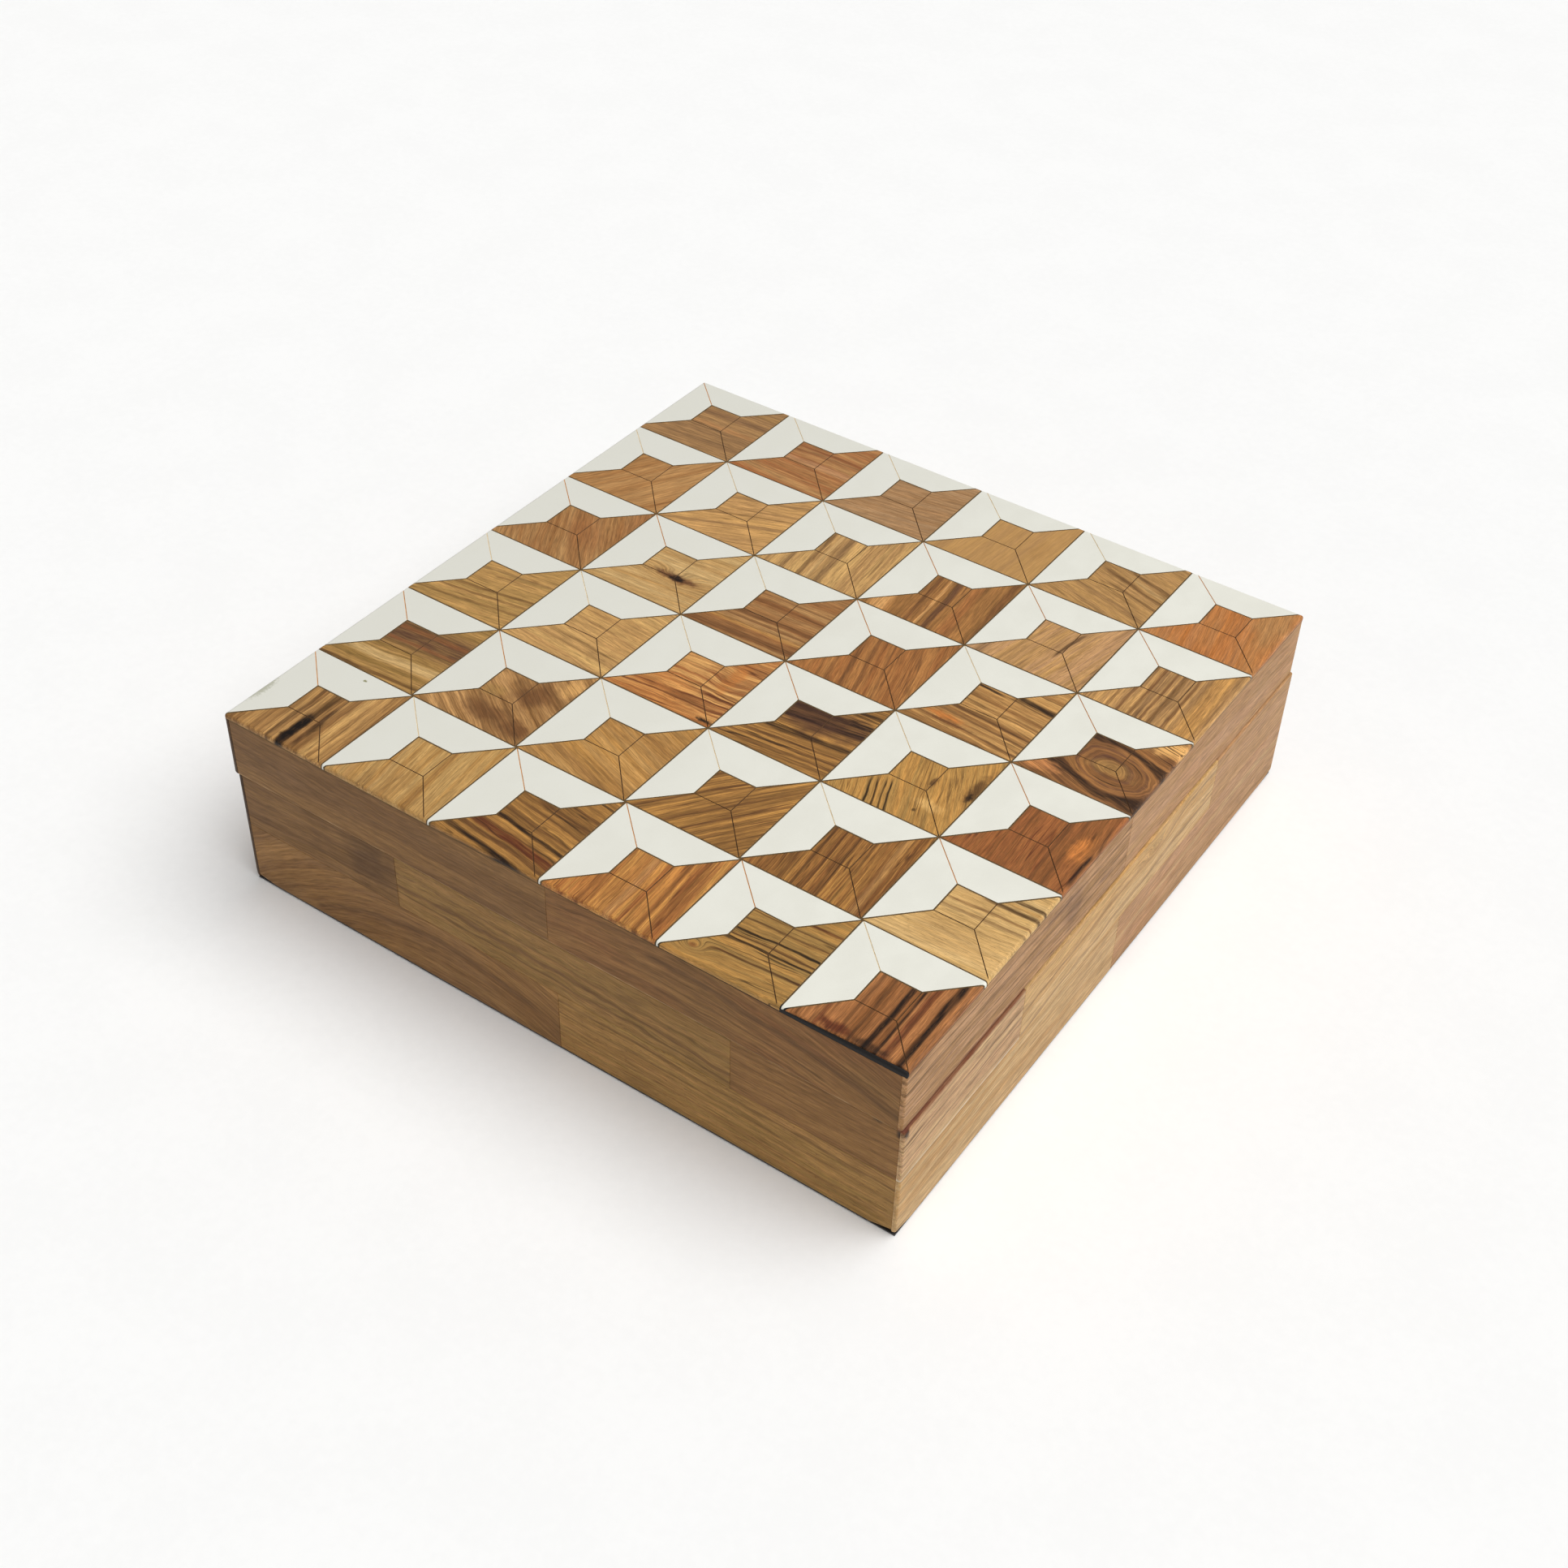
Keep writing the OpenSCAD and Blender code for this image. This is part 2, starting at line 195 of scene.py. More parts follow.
def wood_material(name, look, centre, axes, seed):
    """Wood with its own grain direction, bands, veins, pores, streaks, patches, knots, dark ends and bands
    along its edges; the dark edge bands at the seam between lid and base are painted shade.
    Marks are placed in the face's plane, in mm from the piece's centre."""
    n = Nodes(name)
    plane = n.place(centre, axes)
    angle = look["angle"]
    grain = n.add("ShaderNodeVectorRotate", {"Vector": plane, "Angle": math.radians(-angle)},
                  rotation_type="Z_AXIS").outputs[0]
    along, straight, depth = n.split(grain)
    away = (seed * 31.7 % 97, seed * 17.3 % 89, seed * 7.9 % 83)

    def fibre(across, length, width, extra, detail=2.0):
        """Noise stretched along the grain, with its own offset."""
        point = n.join(n.math("DIVIDE", along, length), n.math("DIVIDE", across, width),
                       n.math("DIVIDE", depth, width))
        return n.noise(n.vector("ADD", point, (away[0] + extra, away[1], away[2])), detail)

    def from_spot(x, y, long, wide, across):
        """The distance from a spot, as a share of an oval's half sizes along and across the grain."""
        gap = n.vector("SUBTRACT", n.join(along, across, 0.0), (*turned(x, y, -angle), 0))
        return n.length(n.vector("DIVIDE", gap, (long, wide, 1)))

    # The grain bows round knots, and closes in rings round an eye
    across = straight
    for x, y, long, wide, lift, _ in look["knots"]:
        d = from_spot(x, y, long, wide, across)
        hill = n.math("EXPONENT", n.times(n.times(d, d), -1.0))
        across = n.plus(across, n.times(hill, lift))
    if look["eye"]:
        x, y, long, wide = look["eye"]
        d = from_spot(x, y, long, wide, straight)
        beside = n.math("ABSOLUTE", n.minus(straight, turned(x, y, -angle)[1]))
        ring = n.minus(n.times(d, wide), beside)
        across = n.plus(beside, n.times(ring, n.step(d, 0.9, 1.8, 1.0, 0.0)))

    slow = n.times(n.minus(fibre(straight, 38, 13, 3.0), 0.5), 2.4 * look["wave"])
    quick = n.times(n.minus(fibre(straight, 9, 4.5, 9.0), 0.5), 0.7 * look["wave"])
    line = n.plus(across, n.plus(slow, quick))
    if look["arch"]:
        from_peak = n.minus(along, look["peak"])
        line = n.plus(line, n.times(n.times(from_peak, from_peak), look["arch"] / 400))

    band = look["band"]
    broad = n.step(fibre(line, band * 34, band, 20.0, 3.0), 0.36, 0.64)
    thin = n.step(fibre(line, band * 16, band * 0.22, 30.0, 3.0), 0.33, 0.64)
    colour = n.paint(n.plus(n.times(broad, 0.62), n.times(thin, 0.38)), linear(look["dark"]), look["light"])
    cloud = n.noise(n.vector("ADD", n.vector("DIVIDE", grain, (26, 11, 11)), away))
    colour = n.paint(n.step(cloud, 0.35, 0.75, 0.0, look["cloudy"]), colour, look["cloud"])

    for position, width, tone, strength, *ends in look["streaks"]:
        off = n.math("ABSOLUTE", n.minus(line, position))
        mark = n.step(off, 0.25 * width, width, strength, 0.0)
        if ends:
            start, end = ends
            fade = n.times(n.step(along, start - 2, start + 2), n.step(along, end - 2, end + 2, 1.0, 0.0))
            mark = n.times(mark, fade)
        mark = n.times(mark, n.step(fibre(straight, 7, 0.5, 40.0), 0.3, 0.62, 0.65, 1.0))
        colour = n.paint(mark, colour, tone)

    for x, y, wide, high, tone, strength in look["patches"]:
        push = n.warp(n.vector("ADD", plane, away), 0.9 / min(wide, high, 5.6), 4.0)
        push = n.vector("MULTIPLY", n.vector("SUBTRACT", push, (0.5,) * 3), (wide * 1.2, high * 1.2, 0))
        point = n.vector("MULTIPLY", n.vector("ADD", plane, push), (1, 1, 0))
        gap = n.vector("DIVIDE", n.vector("SUBTRACT", point, (x, y, 0)), (wide, high, 1))
        colour = n.paint(n.step(n.length(gap), 0.3, 1.15, strength, 0.0), colour, tone)

    if look["veins"]:
        contour = n.math("ABSOLUTE", n.minus(fibre(line, 60, 2.1, 55.0), 0.5))
        broken = n.step(fibre(straight, 14, 5, 61.0), 0.38, 0.6)
        vein = n.times(n.step(contour, 0.004, 0.03, look["veins"], 0.0), broken)
        colour = n.paint(vein, colour, look["vein"])

    # Contrast round the middle tone, then fine fibres and pores
    middle = sum(w * (a + b) / 2 for w, a, b in zip(LUMINANCE, linear(look["light"]), linear(look["dark"])))
    level = n.vector("DOT_PRODUCT", colour, LUMINANCE, output=1)
    punch = n.math("POWER", n.math("DIVIDE", level, middle), look["punch"])
    hair = fibre(line, 3.2, 0.14, 70.0)
    soft_hair = fibre(line, 11, 0.7, 76.0)
    gain, fine = look["gain"], look["fine"]
    tint = n.times(n.step(hair, 0.25, 0.75, gain * (1 - fine), gain * (1 + 0.7 * fine)),
                   n.step(soft_hair, 0.3, 0.7, 1 - 0.6 * fine, 1 + 0.45 * fine))
    scaled = n.add("ShaderNodeVectorMath", {0: colour, "Scale": n.times(tint, punch)}, operation="SCALE")
    pore = n.step(fibre(straight, 1.6, 0.2, 82.0), 0.62, 0.7, 0.0, look["pores"])
    colour = n.paint(pore, scaled.outputs[0], "bark")

    for x, y, long, wide, _, core in look["knots"]:
        mark = n.step(from_spot(x, y, long * 0.55, wide * 0.5, straight), 0.25, 1.0, core, 0.0)
        colour = n.paint(mark, colour, "maroon" if core < 0.8 else "black")

    # Bands along the top or bottom of a face: the dark ones at the seam between lid and base are painted
    # shade
    for low, high, tone, strength, *ends in look["edges"]:
        ragged = n.plus(n.split(plane)[1], n.times(n.minus(fibre(straight, 5, 2, 90.0), 0.5), 1.2))
        mark = n.step(ragged, low, high, strength, 0.0)
        if ends:
            mark = n.times(mark, n.step(along, ends[0], ends[1], 1.0, 0.0))
        colour = n.paint(mark, colour, tone)

    if look["ends"]:
        start = -look["ends"] / 2
        colour = n.paint(n.step(n.split(plane)[0], 0.4 + start, 1.3 + start, 0.85, 0.0), colour, "black")

    n.bump(n.minus(hair, n.times(pore, 1.5)), 0.02, 0.6)
    rough = n.step(soft_hair, 0.3, 0.7, look["gloss"] + 0.1, look["gloss"] - 0.02)
    return n.finish(colour, rough, Specular_IOR_Level=0.2)


def spec(light, dark, angle=0, **changes):
    """What one piece of wood looks like, with the usual values for what isn't said."""
    usual = dict(light=light, dark=dark, angle=angle, band=2.4, wave=1.0, arch=0.0, peak=0.0, veins=0.4,
                 vein="umber", fine=0.3, pores=0.45, cloud=dark, cloudy=0.4, gloss=0.48, gain=1.0, punch=0.0,
                 streaks=(), patches=(), knots=(), eye=(), edges=(), ends=0.0)
    return {**usual, **changes}


# Light and dark tone, grain's angle, and what else differs from the usual.
# streaks: (place across the grain, half width, tone, strength[, from, to along the grain])
# patches: (x, y, half width, half height, tone, strength); knots: (x, y, length, width, lift, darkness)
# eye: (x, y, half length, half width); edges: (from, to up the face, tone, strength[, from, to along]), and
# the dark edges at the seam between lid and base are painted shade
TILE_WOOD = {
    (6, 1): spec("tan", "shade", 3, band=3, wave=1.4, veins=0.15, pores=0.15, gain=1.03,
        streaks=[(2.5, 3, "plum", 0.35), (-3.5, 1.4, "salmon", 0.35), (-9, 2, "shade", 0.5),
        (9, 2, "moss", 0.4)]),
    (6, 2): spec("tan", "russet", gain=1.05, band=3.2, wave=1.2, veins=0.15, pores=0.15,
        streaks=[(3, 3, "maroon", 0.4), (-8.5, 1.5, "chestnut", 0.6), (-3, 1.8, "rose", 0.5)]),
    (6, 3): spec("grey", "shade", 8, band=1.8, wave=1.4, veins=0.3, vein="bark", gain=1.48,
        streaks=[(3, 1.2, "shade", 0.5), (-9, 1.0, "bark", 0.4)]),
    (6, 4): spec("honey", "tan", 85, band=4, veins=0, pores=0.05, fine=0.14, cloudy=0.2, gain=0.9,
        patches=[(12, -1, 3, 6, "clay", 0.3)]),
    (6, 5): spec("honey", "tan", -16, band=2.6, wave=1.6, vein="bark", gain=0.9,
        streaks=[(6.5, 1.0, "bark", 0.75, 2, 20), (1.5, 1.2, "bark", 0.8, -4, 20),
        (-2.5, 0.8, "bark", 0.6, 2, 20), (-9, 1.4, "shade", 0.6), (4, 1.2, "cream", 0.4, 4, 20)]),
    (6, 6): spec("salmon", "amber", 100, band=2, veins=0.1, pores=0.3, cloud="tan", gain=0.95,
        patches=[(12, 6, 6, 12, "tan", 0.6)]),
    (5, 1): spec("tan", "brown", 60, band=4, veins=0.05, pores=0.12, cloudy=0.3, gain=1.12),
    (5, 2): spec("honey", "tan", 22, gain=1.08, punch=0.3, band=2.2, wave=1.2, veins=0.45, vein="bark",
        streaks=[(-9, 1.2, "shade", 0.5), (-4, 0.8, "bark", 0.4), (4, 0.9, "shade", 0.4),
        (10, 4, "straw", 0.3)]),
    (5, 3): spec("straw", "tan", 95, punch=0.2, wave=0.8, veins=0.35, gain=0.97,
        streaks=[(-1.8, 1.6, "shade", 0.75), (4, 1.0, "bark", 0.5), (9.5, 1.4, "shade", 0.6),
        (-9.5, 1.0, "tan", 0.6), (1.5, 1.0, "cream", 0.4)]),
    (5, 4): spec("brown", "cocoa", 95, punch=0.5, band=2.0, wave=0.8, veins=0.5, gain=1.46,
        streaks=[(3.3, 0.9, "umber", 0.8), (-2.6, 1.4, "plum", 0.7), (-16, 1.6, "umber", 0.7),
        (12.5, 3.5, "tan", 0.55), (-8, 2.6, "russet", 0.45), (0.2, 0.7, "tan", 0.5)]),
    (5, 5): spec("honey", "rose", 78, punch=0.5, band=3, wave=1.4, veins=0.25, cloud="tan", gain=0.97,
        streaks=[(-6.2, 0.7, "bark", 0.8, -6, 7), (9, 1.5, "shade", 0.4)]),
    (5, 6): spec("honey", "shade", 91, punch=0.2, band=1.7, wave=0.9, gain=1.3,
        streaks=[(2.6, 0.8, "umber", 0.75), (-0.8, 0.7, "umber", 0.7), (-3.2, 0.9, "bark", 0.75),
        (-6.8, 0.8, "umber", 0.8), (6, 0.8, "umber", 0.7), (-12, 4, "golden", 0.6),
        (9, 0.7, "umber", 0.5)]),
    (4, 1): spec("tan", "brown", 120, band=4, veins=0.05, pores=0.12, cloudy=0.5, cloud="russet",
        gain=0.95),
    (4, 2): spec("cream", "honey", 4, punch=0.2, band=2.8, wave=0.8, veins=0.2, gain=0.86,
        streaks=[(9, 5, "straw", 0.3)], knots=[(6.2, -4.4, 7.5, 3.2, 4, 0.0)],
        patches=[(6.2, -4.6, 9, 2.0, "maroon", 0.8), (6.4, -4.8, 3.6, 1.4, "black", 0.95)]),
    (4, 3): spec("tan", "chestnut", 2, band=1.8, streaks=[(-5.4, 1.4, "umber", 0.85),
        (-8, 0.6, "umber", 0.6), (-14.4, 1.9, "umber", 0.8), (-10.6, 1.2, "golden", 0.6),
        (1, 0.7, "umber", 0.7), (4.4, 0.7, "umber", 0.5), (-2, 1.5, "tan", 0.5)]),
    (4, 4): spec("brown", "chestnut", 105, punch=0.4, band=1.8, wave=0.9, veins=0.6, gain=1.39,
        streaks=[(-13, 4, "brown", 0.4), (4.5, 1.1, "umber", 0.75), (0.6, 1.0, "umber", 0.75),
        (-4.5, 0.6, "umber", 0.6), (9, 0.8, "umber", 0.6)]),
    (4, 5): spec("honey", "brown", -4, punch=0.4, band=2.2, wave=1.2, veins=0.55, vein="bark", gain=1.07,
        streaks=[(6.8, 1.5, "black", 0.9, 5, 22), (4.6, 0.7, "black", 0.85, -7, 2),
        (-6.4, 0.8, "umber", 0.8), (-9.2, 0.6, "umber", 0.6), (-13.4, 0.6, "umber", 0.6)],
        patches=[(-5.5, -11.5, 7, 1.7, "amber", 0.85), (-3, -13.2, 8, 0.8, "maroon", 0.5)]),
    (4, 6): spec("brown", "umber", -14, punch=0.35, band=1.9, wave=2.3, veins=0.7, vein="black",
        gain=1.35, eye=(5, -4.5, 12, 7.5), cloud="plum", patches=[(13, 11, 9, 4.6, "honey", 0.8),
        (5, -4.5, 7.5, 3.4, "olive", 0.42), (-12, -13, 7, 3, "salmon", 0.5)],
        streaks=[(8.8, 1.3, "black", 0.85), (3.6, 0.7, "plum", 0.7), (6.2, 0.5, "plum", 0.6)]),
    (3, 1): spec("honey", "olive", 8, band=2.2, wave=1.2, veins=0.5, vein="bark", gain=1.01,
        streaks=[(-5.6, 0.9, "bark", 0.75), (-8.4, 0.7, "bark", 0.6), (-12.2, 0.8, "bark", 0.6),
        (3, 0.8, "shade", 0.4)]),
    (3, 2): spec("straw", "tan", -6, band=3, wave=1.1, veins=0.35, vein="bark", cloud="honey", gain=0.99,
        streaks=[(-8, 0.7, "bark", 0.5), (-11, 0.6, "bark", 0.45), (5, 6, "honey", 0.5)]),
    (3, 3): spec("honey", "russet", 4, gain=1.1, punch=0.5, band=1.5, wave=2.4, veins=0.6, vein="maroon",
        cloud="amber", cloudy=0.5, patches=[(11, 4, 2.6, 10, "amber", 0.55), (-2, 3, 8, 5, "honey", 0.45),
        (4, -11, 10, 2, "chestnut", 0.5), (14.6, -15.4, 3, 0.8, "black", 0.9)],
        knots=[(11, 0, 5, 4, 2.2, 0.0)], streaks=[(-6.4, 0.8, "maroon", 0.85, 7, 20),
        (-9.4, 0.6, "maroon", 0.7, 0, 20), (-12.4, 0.5, "maroon", 0.7), (-4, 0.5, "umber", 0.5, 4, 20)]),
    (3, 4): spec("golden", "cocoa", 6, punch=0.35, band=1.6, wave=1.4, veins=0.7, vein="black", gain=1.14,
        patches=[(2, 3, 22, 8.5, "plum", 0.75)], streaks=[(4.6, 1.7, "black", 0.95),
        (0.2, 1.3, "black", 0.9), (9.6, 1.2, "black", 0.8, 2, 22), (-5.6, 1.3, "black", 0.9),
        (2.4, 0.7, "brown", 0.7), (-9.6, 0.6, "umber", 0.8), (-12.2, 0.6, "umber", 0.8),
        (-14.4, 0.6, "umber", 0.7)]),
    (3, 5): spec("golden", "olive", 112, punch=0.55, band=1.8, wave=1.4, veins=0.5, vein="bark",
        cloud="golden", gain=1.09,
        streaks=[(p, 0.45, "black", 0.85, -18, -5) for p in (10.5, 8.6, 6.6, 4.9)],
        patches=[(15.8, 3, 2.0, 8, "umber", 0.7), (5.6, -1, 0.9, 2.6, "umber", 0.7),
        (9, -9, 5, 2.5, "straw", 0.5), (15.6, -1, 0.9, 2.2, "black", 0.7),
        (7, -12.4, 0.7, 0.7, "black", 0.6)]),
    (3, 6): spec("russet", "chestnut", 92, gain=1.08, punch=0.6, band=1.5, veins=0.55, vein="maroon",
        cloud="brown", pores=0.6, patches=[(12.6, -1, 3, 7, "amber", 0.6)],
        knots=[(13.4, 0, 6, 2.6, 1.3, 0.0)], streaks=[(-7, 0.8, "umber", 0.6), (-10, 0.6, "umber", 0.5),
        (2, 0.6, "umber", 0.4), (-15.2, 0.8, "black", 0.85, -14, -2), (-12.6, 0.5, "black", 0.75, -4, 5),
        (-15.8, 0.5, "umber", 0.8, 0, 9)]),
    (2, 1): spec("honey", "moss", 3, band=2.2, wave=1.2, veins=0.45, vein="moss", gain=0.95,
        streaks=[(-9, 2.6, "cream", 0.75), (2, 8.2, "plum", 0.9, -12, 30), (4, 1.2, "russet", 0.5),
        (-1, 1.0, "russet", 0.45), (-7, 0.6, "moss", 0.5), (-12.6, 1, "moss", 0.6),
        (-15.9, 1.0, "bark", 0.95)]),
    (2, 2): spec("tan", "cocoa", -32, punch=0.2, wave=1.6, veins=0.35, cloud="umber", gain=1.21,
        patches=[(9, 0, 6, 6, "umber", 0.8), (2, -11, 9, 4, "umber", 0.65), (13, -12, 6, 4, "umber", 0.8),
        (14, 9, 4, 5, "honey", 0.7), (-3, 2, 4, 5, "tan", 0.6), (-2, -3, 5, 3, "olive", 0.5)]),
    (2, 3): spec("honey", "golden", -20, punch=0.5, band=3.2, veins=0.2, vein="brown", pores=0.3,
        cloud="brown", cloudy=0.35, gain=0.94, streaks=[(-13, 2, "brown", 0.45), (8, 0.8, "brown", 0.4)]),
    (2, 4): spec("golden", "cocoa", 52, punch=0.2, band=1.2, wave=0.8, veins=0.8, fine=0.34, gain=1.08,
        streaks=[(-6, 0.7, "umber", 0.6), (-10, 0.6, "umber", 0.7), (1, 0.6, "umber", 0.6),
        (6, 0.6, "umber", 0.5)]),
    (2, 5): spec("golden", "chestnut", 94, punch=0.45, band=1.3, wave=0.6, veins=0.7, fine=0.34,
        gain=0.92, streaks=[(4, 0.6, "umber", 0.75), (1, 0.5, "umber", 0.7), (-3, 0.6, "umber", 0.75),
        (-7, 0.5, "umber", 0.6), (8, 1.6, "umber", 0.5), (-13, 1.6, "tan", 0.45)]),
    (2, 6): spec("cream", "straw", 3, punch=0.4, band=3, wave=0.9, veins=0.25, vein="shade",
        cloud="honey", gain=1.01, streaks=[(8.6, 0.8, "bark", 0.95, 6, 22),
        (5.4, 1.0, "bark", 0.9, 3, 22), (1.8, 0.6, "brown", 0.8), (-1.2, 0.9, "shade", 0.6),
        (7, 1.0, "golden", 0.6)]),
    (1, 1): spec("honey", "brown", 92, punch=0.5, cloud="tan", pores=0.5, gain=0.85,
        streaks=[(-3.2, 1.7, "bark", 0.85, -5, 8), (-2.8, 2.2, "black", 0.97, -20, -4),
        (-6.6, 1.0, "umber", 0.85, -15, 1), (1.6, 0.9, "umber", 0.6), (4.6, 1, "brown", 0.5),
        (-11, 1.6, "straw", 0.5)], patches=[(2.8, -13, 1.8, 3, "black", 0.95),
        (3.2, -8, 1.6, 5, "black", 0.9), (7, -7, 1.2, 4, "bark", 0.7)]),
    (1, 2): spec("straw", "golden", 97, punch=0.2, band=2.6, veins=0.3, cloud="tan", gain=0.8,
        streaks=[(-8, 0.9, "brown", 0.5), (3, 0.9, "cream", 0.4), (11, 1, "tan", 0.5)]),
    (1, 3): spec("golden", "cocoa", -8, punch=0.25, band=1.8, wave=1.5, veins=0.6, vein="black",
        gain=1.03, streaks=[(-4.8, 0.9, "black", 0.9), (-9.5, 2.0, "maroon", 0.85),
        (-15.2, 1.3, "black", 0.95), (-12.2, 0.9, "umber", 0.7), (2, 0.7, "umber", 0.7),
        (5, 0.8, "umber", 0.7, 0, 20), (9, 0.8, "umber", 0.7, 4, 20), (-2, 0.5, "umber", 0.6)]),
    (1, 4): spec("golden", "russet", 94, gain=1.04, punch=0.6, band=1.8, veins=0.45, vein="maroon",
        cloud="amber", pores=0.5, streaks=[(-2.5, 1.6, "tan", 0.5), (-10.6, 1.2, "chestnut", 0.8),
        (-14, 0.9, "chestnut", 0.7), (6, 0.8, "chestnut", 0.6), (-7, 0.6, "chestnut", 0.6)]),
    (1, 5): spec("golden", "olive", 3, punch=0.55, band=1.7, wave=1.6, veins=0.6, vein="black", gain=0.96,
        streaks=[(-1.2, 0.55, "black", 0.85), (-3.2, 0.5, "umber", 0.8), (-5, 0.6, "black", 0.85),
        (2.5, 0.5, "umber", 0.7), (8.5, 0.7, "maroon", 0.8, 6, 22), (5.5, 0.4, "umber", 0.6),
        (-9.5, 0.6, "umber", 0.9, -6, 22)], knots=[(-9, -12.2, 3.0, 2.0, 5, 0.55)]),
    (1, 6): spec("salmon", "chestnut", 91, punch=0.35, band=2.2, veins=0.3, vein="black", pores=0.5,
        gain=0.95, streaks=[(-4.6, 1.2, "black", 0.95), (-13.6, 1.4, "black", 0.97),
        (-9.4, 1.4, "maroon", 0.7), (-7.4, 0.6, "black", 0.9), (0, 0.7, "umber", 0.75),
        (3, 0.6, "umber", 0.6), (8, 0.7, "maroon", 0.6)], patches=[(-4, -14, 5, 2, "maroon", 0.8),
        (6, -14.5, 6, 1.6, "black", 0.6)]),
}

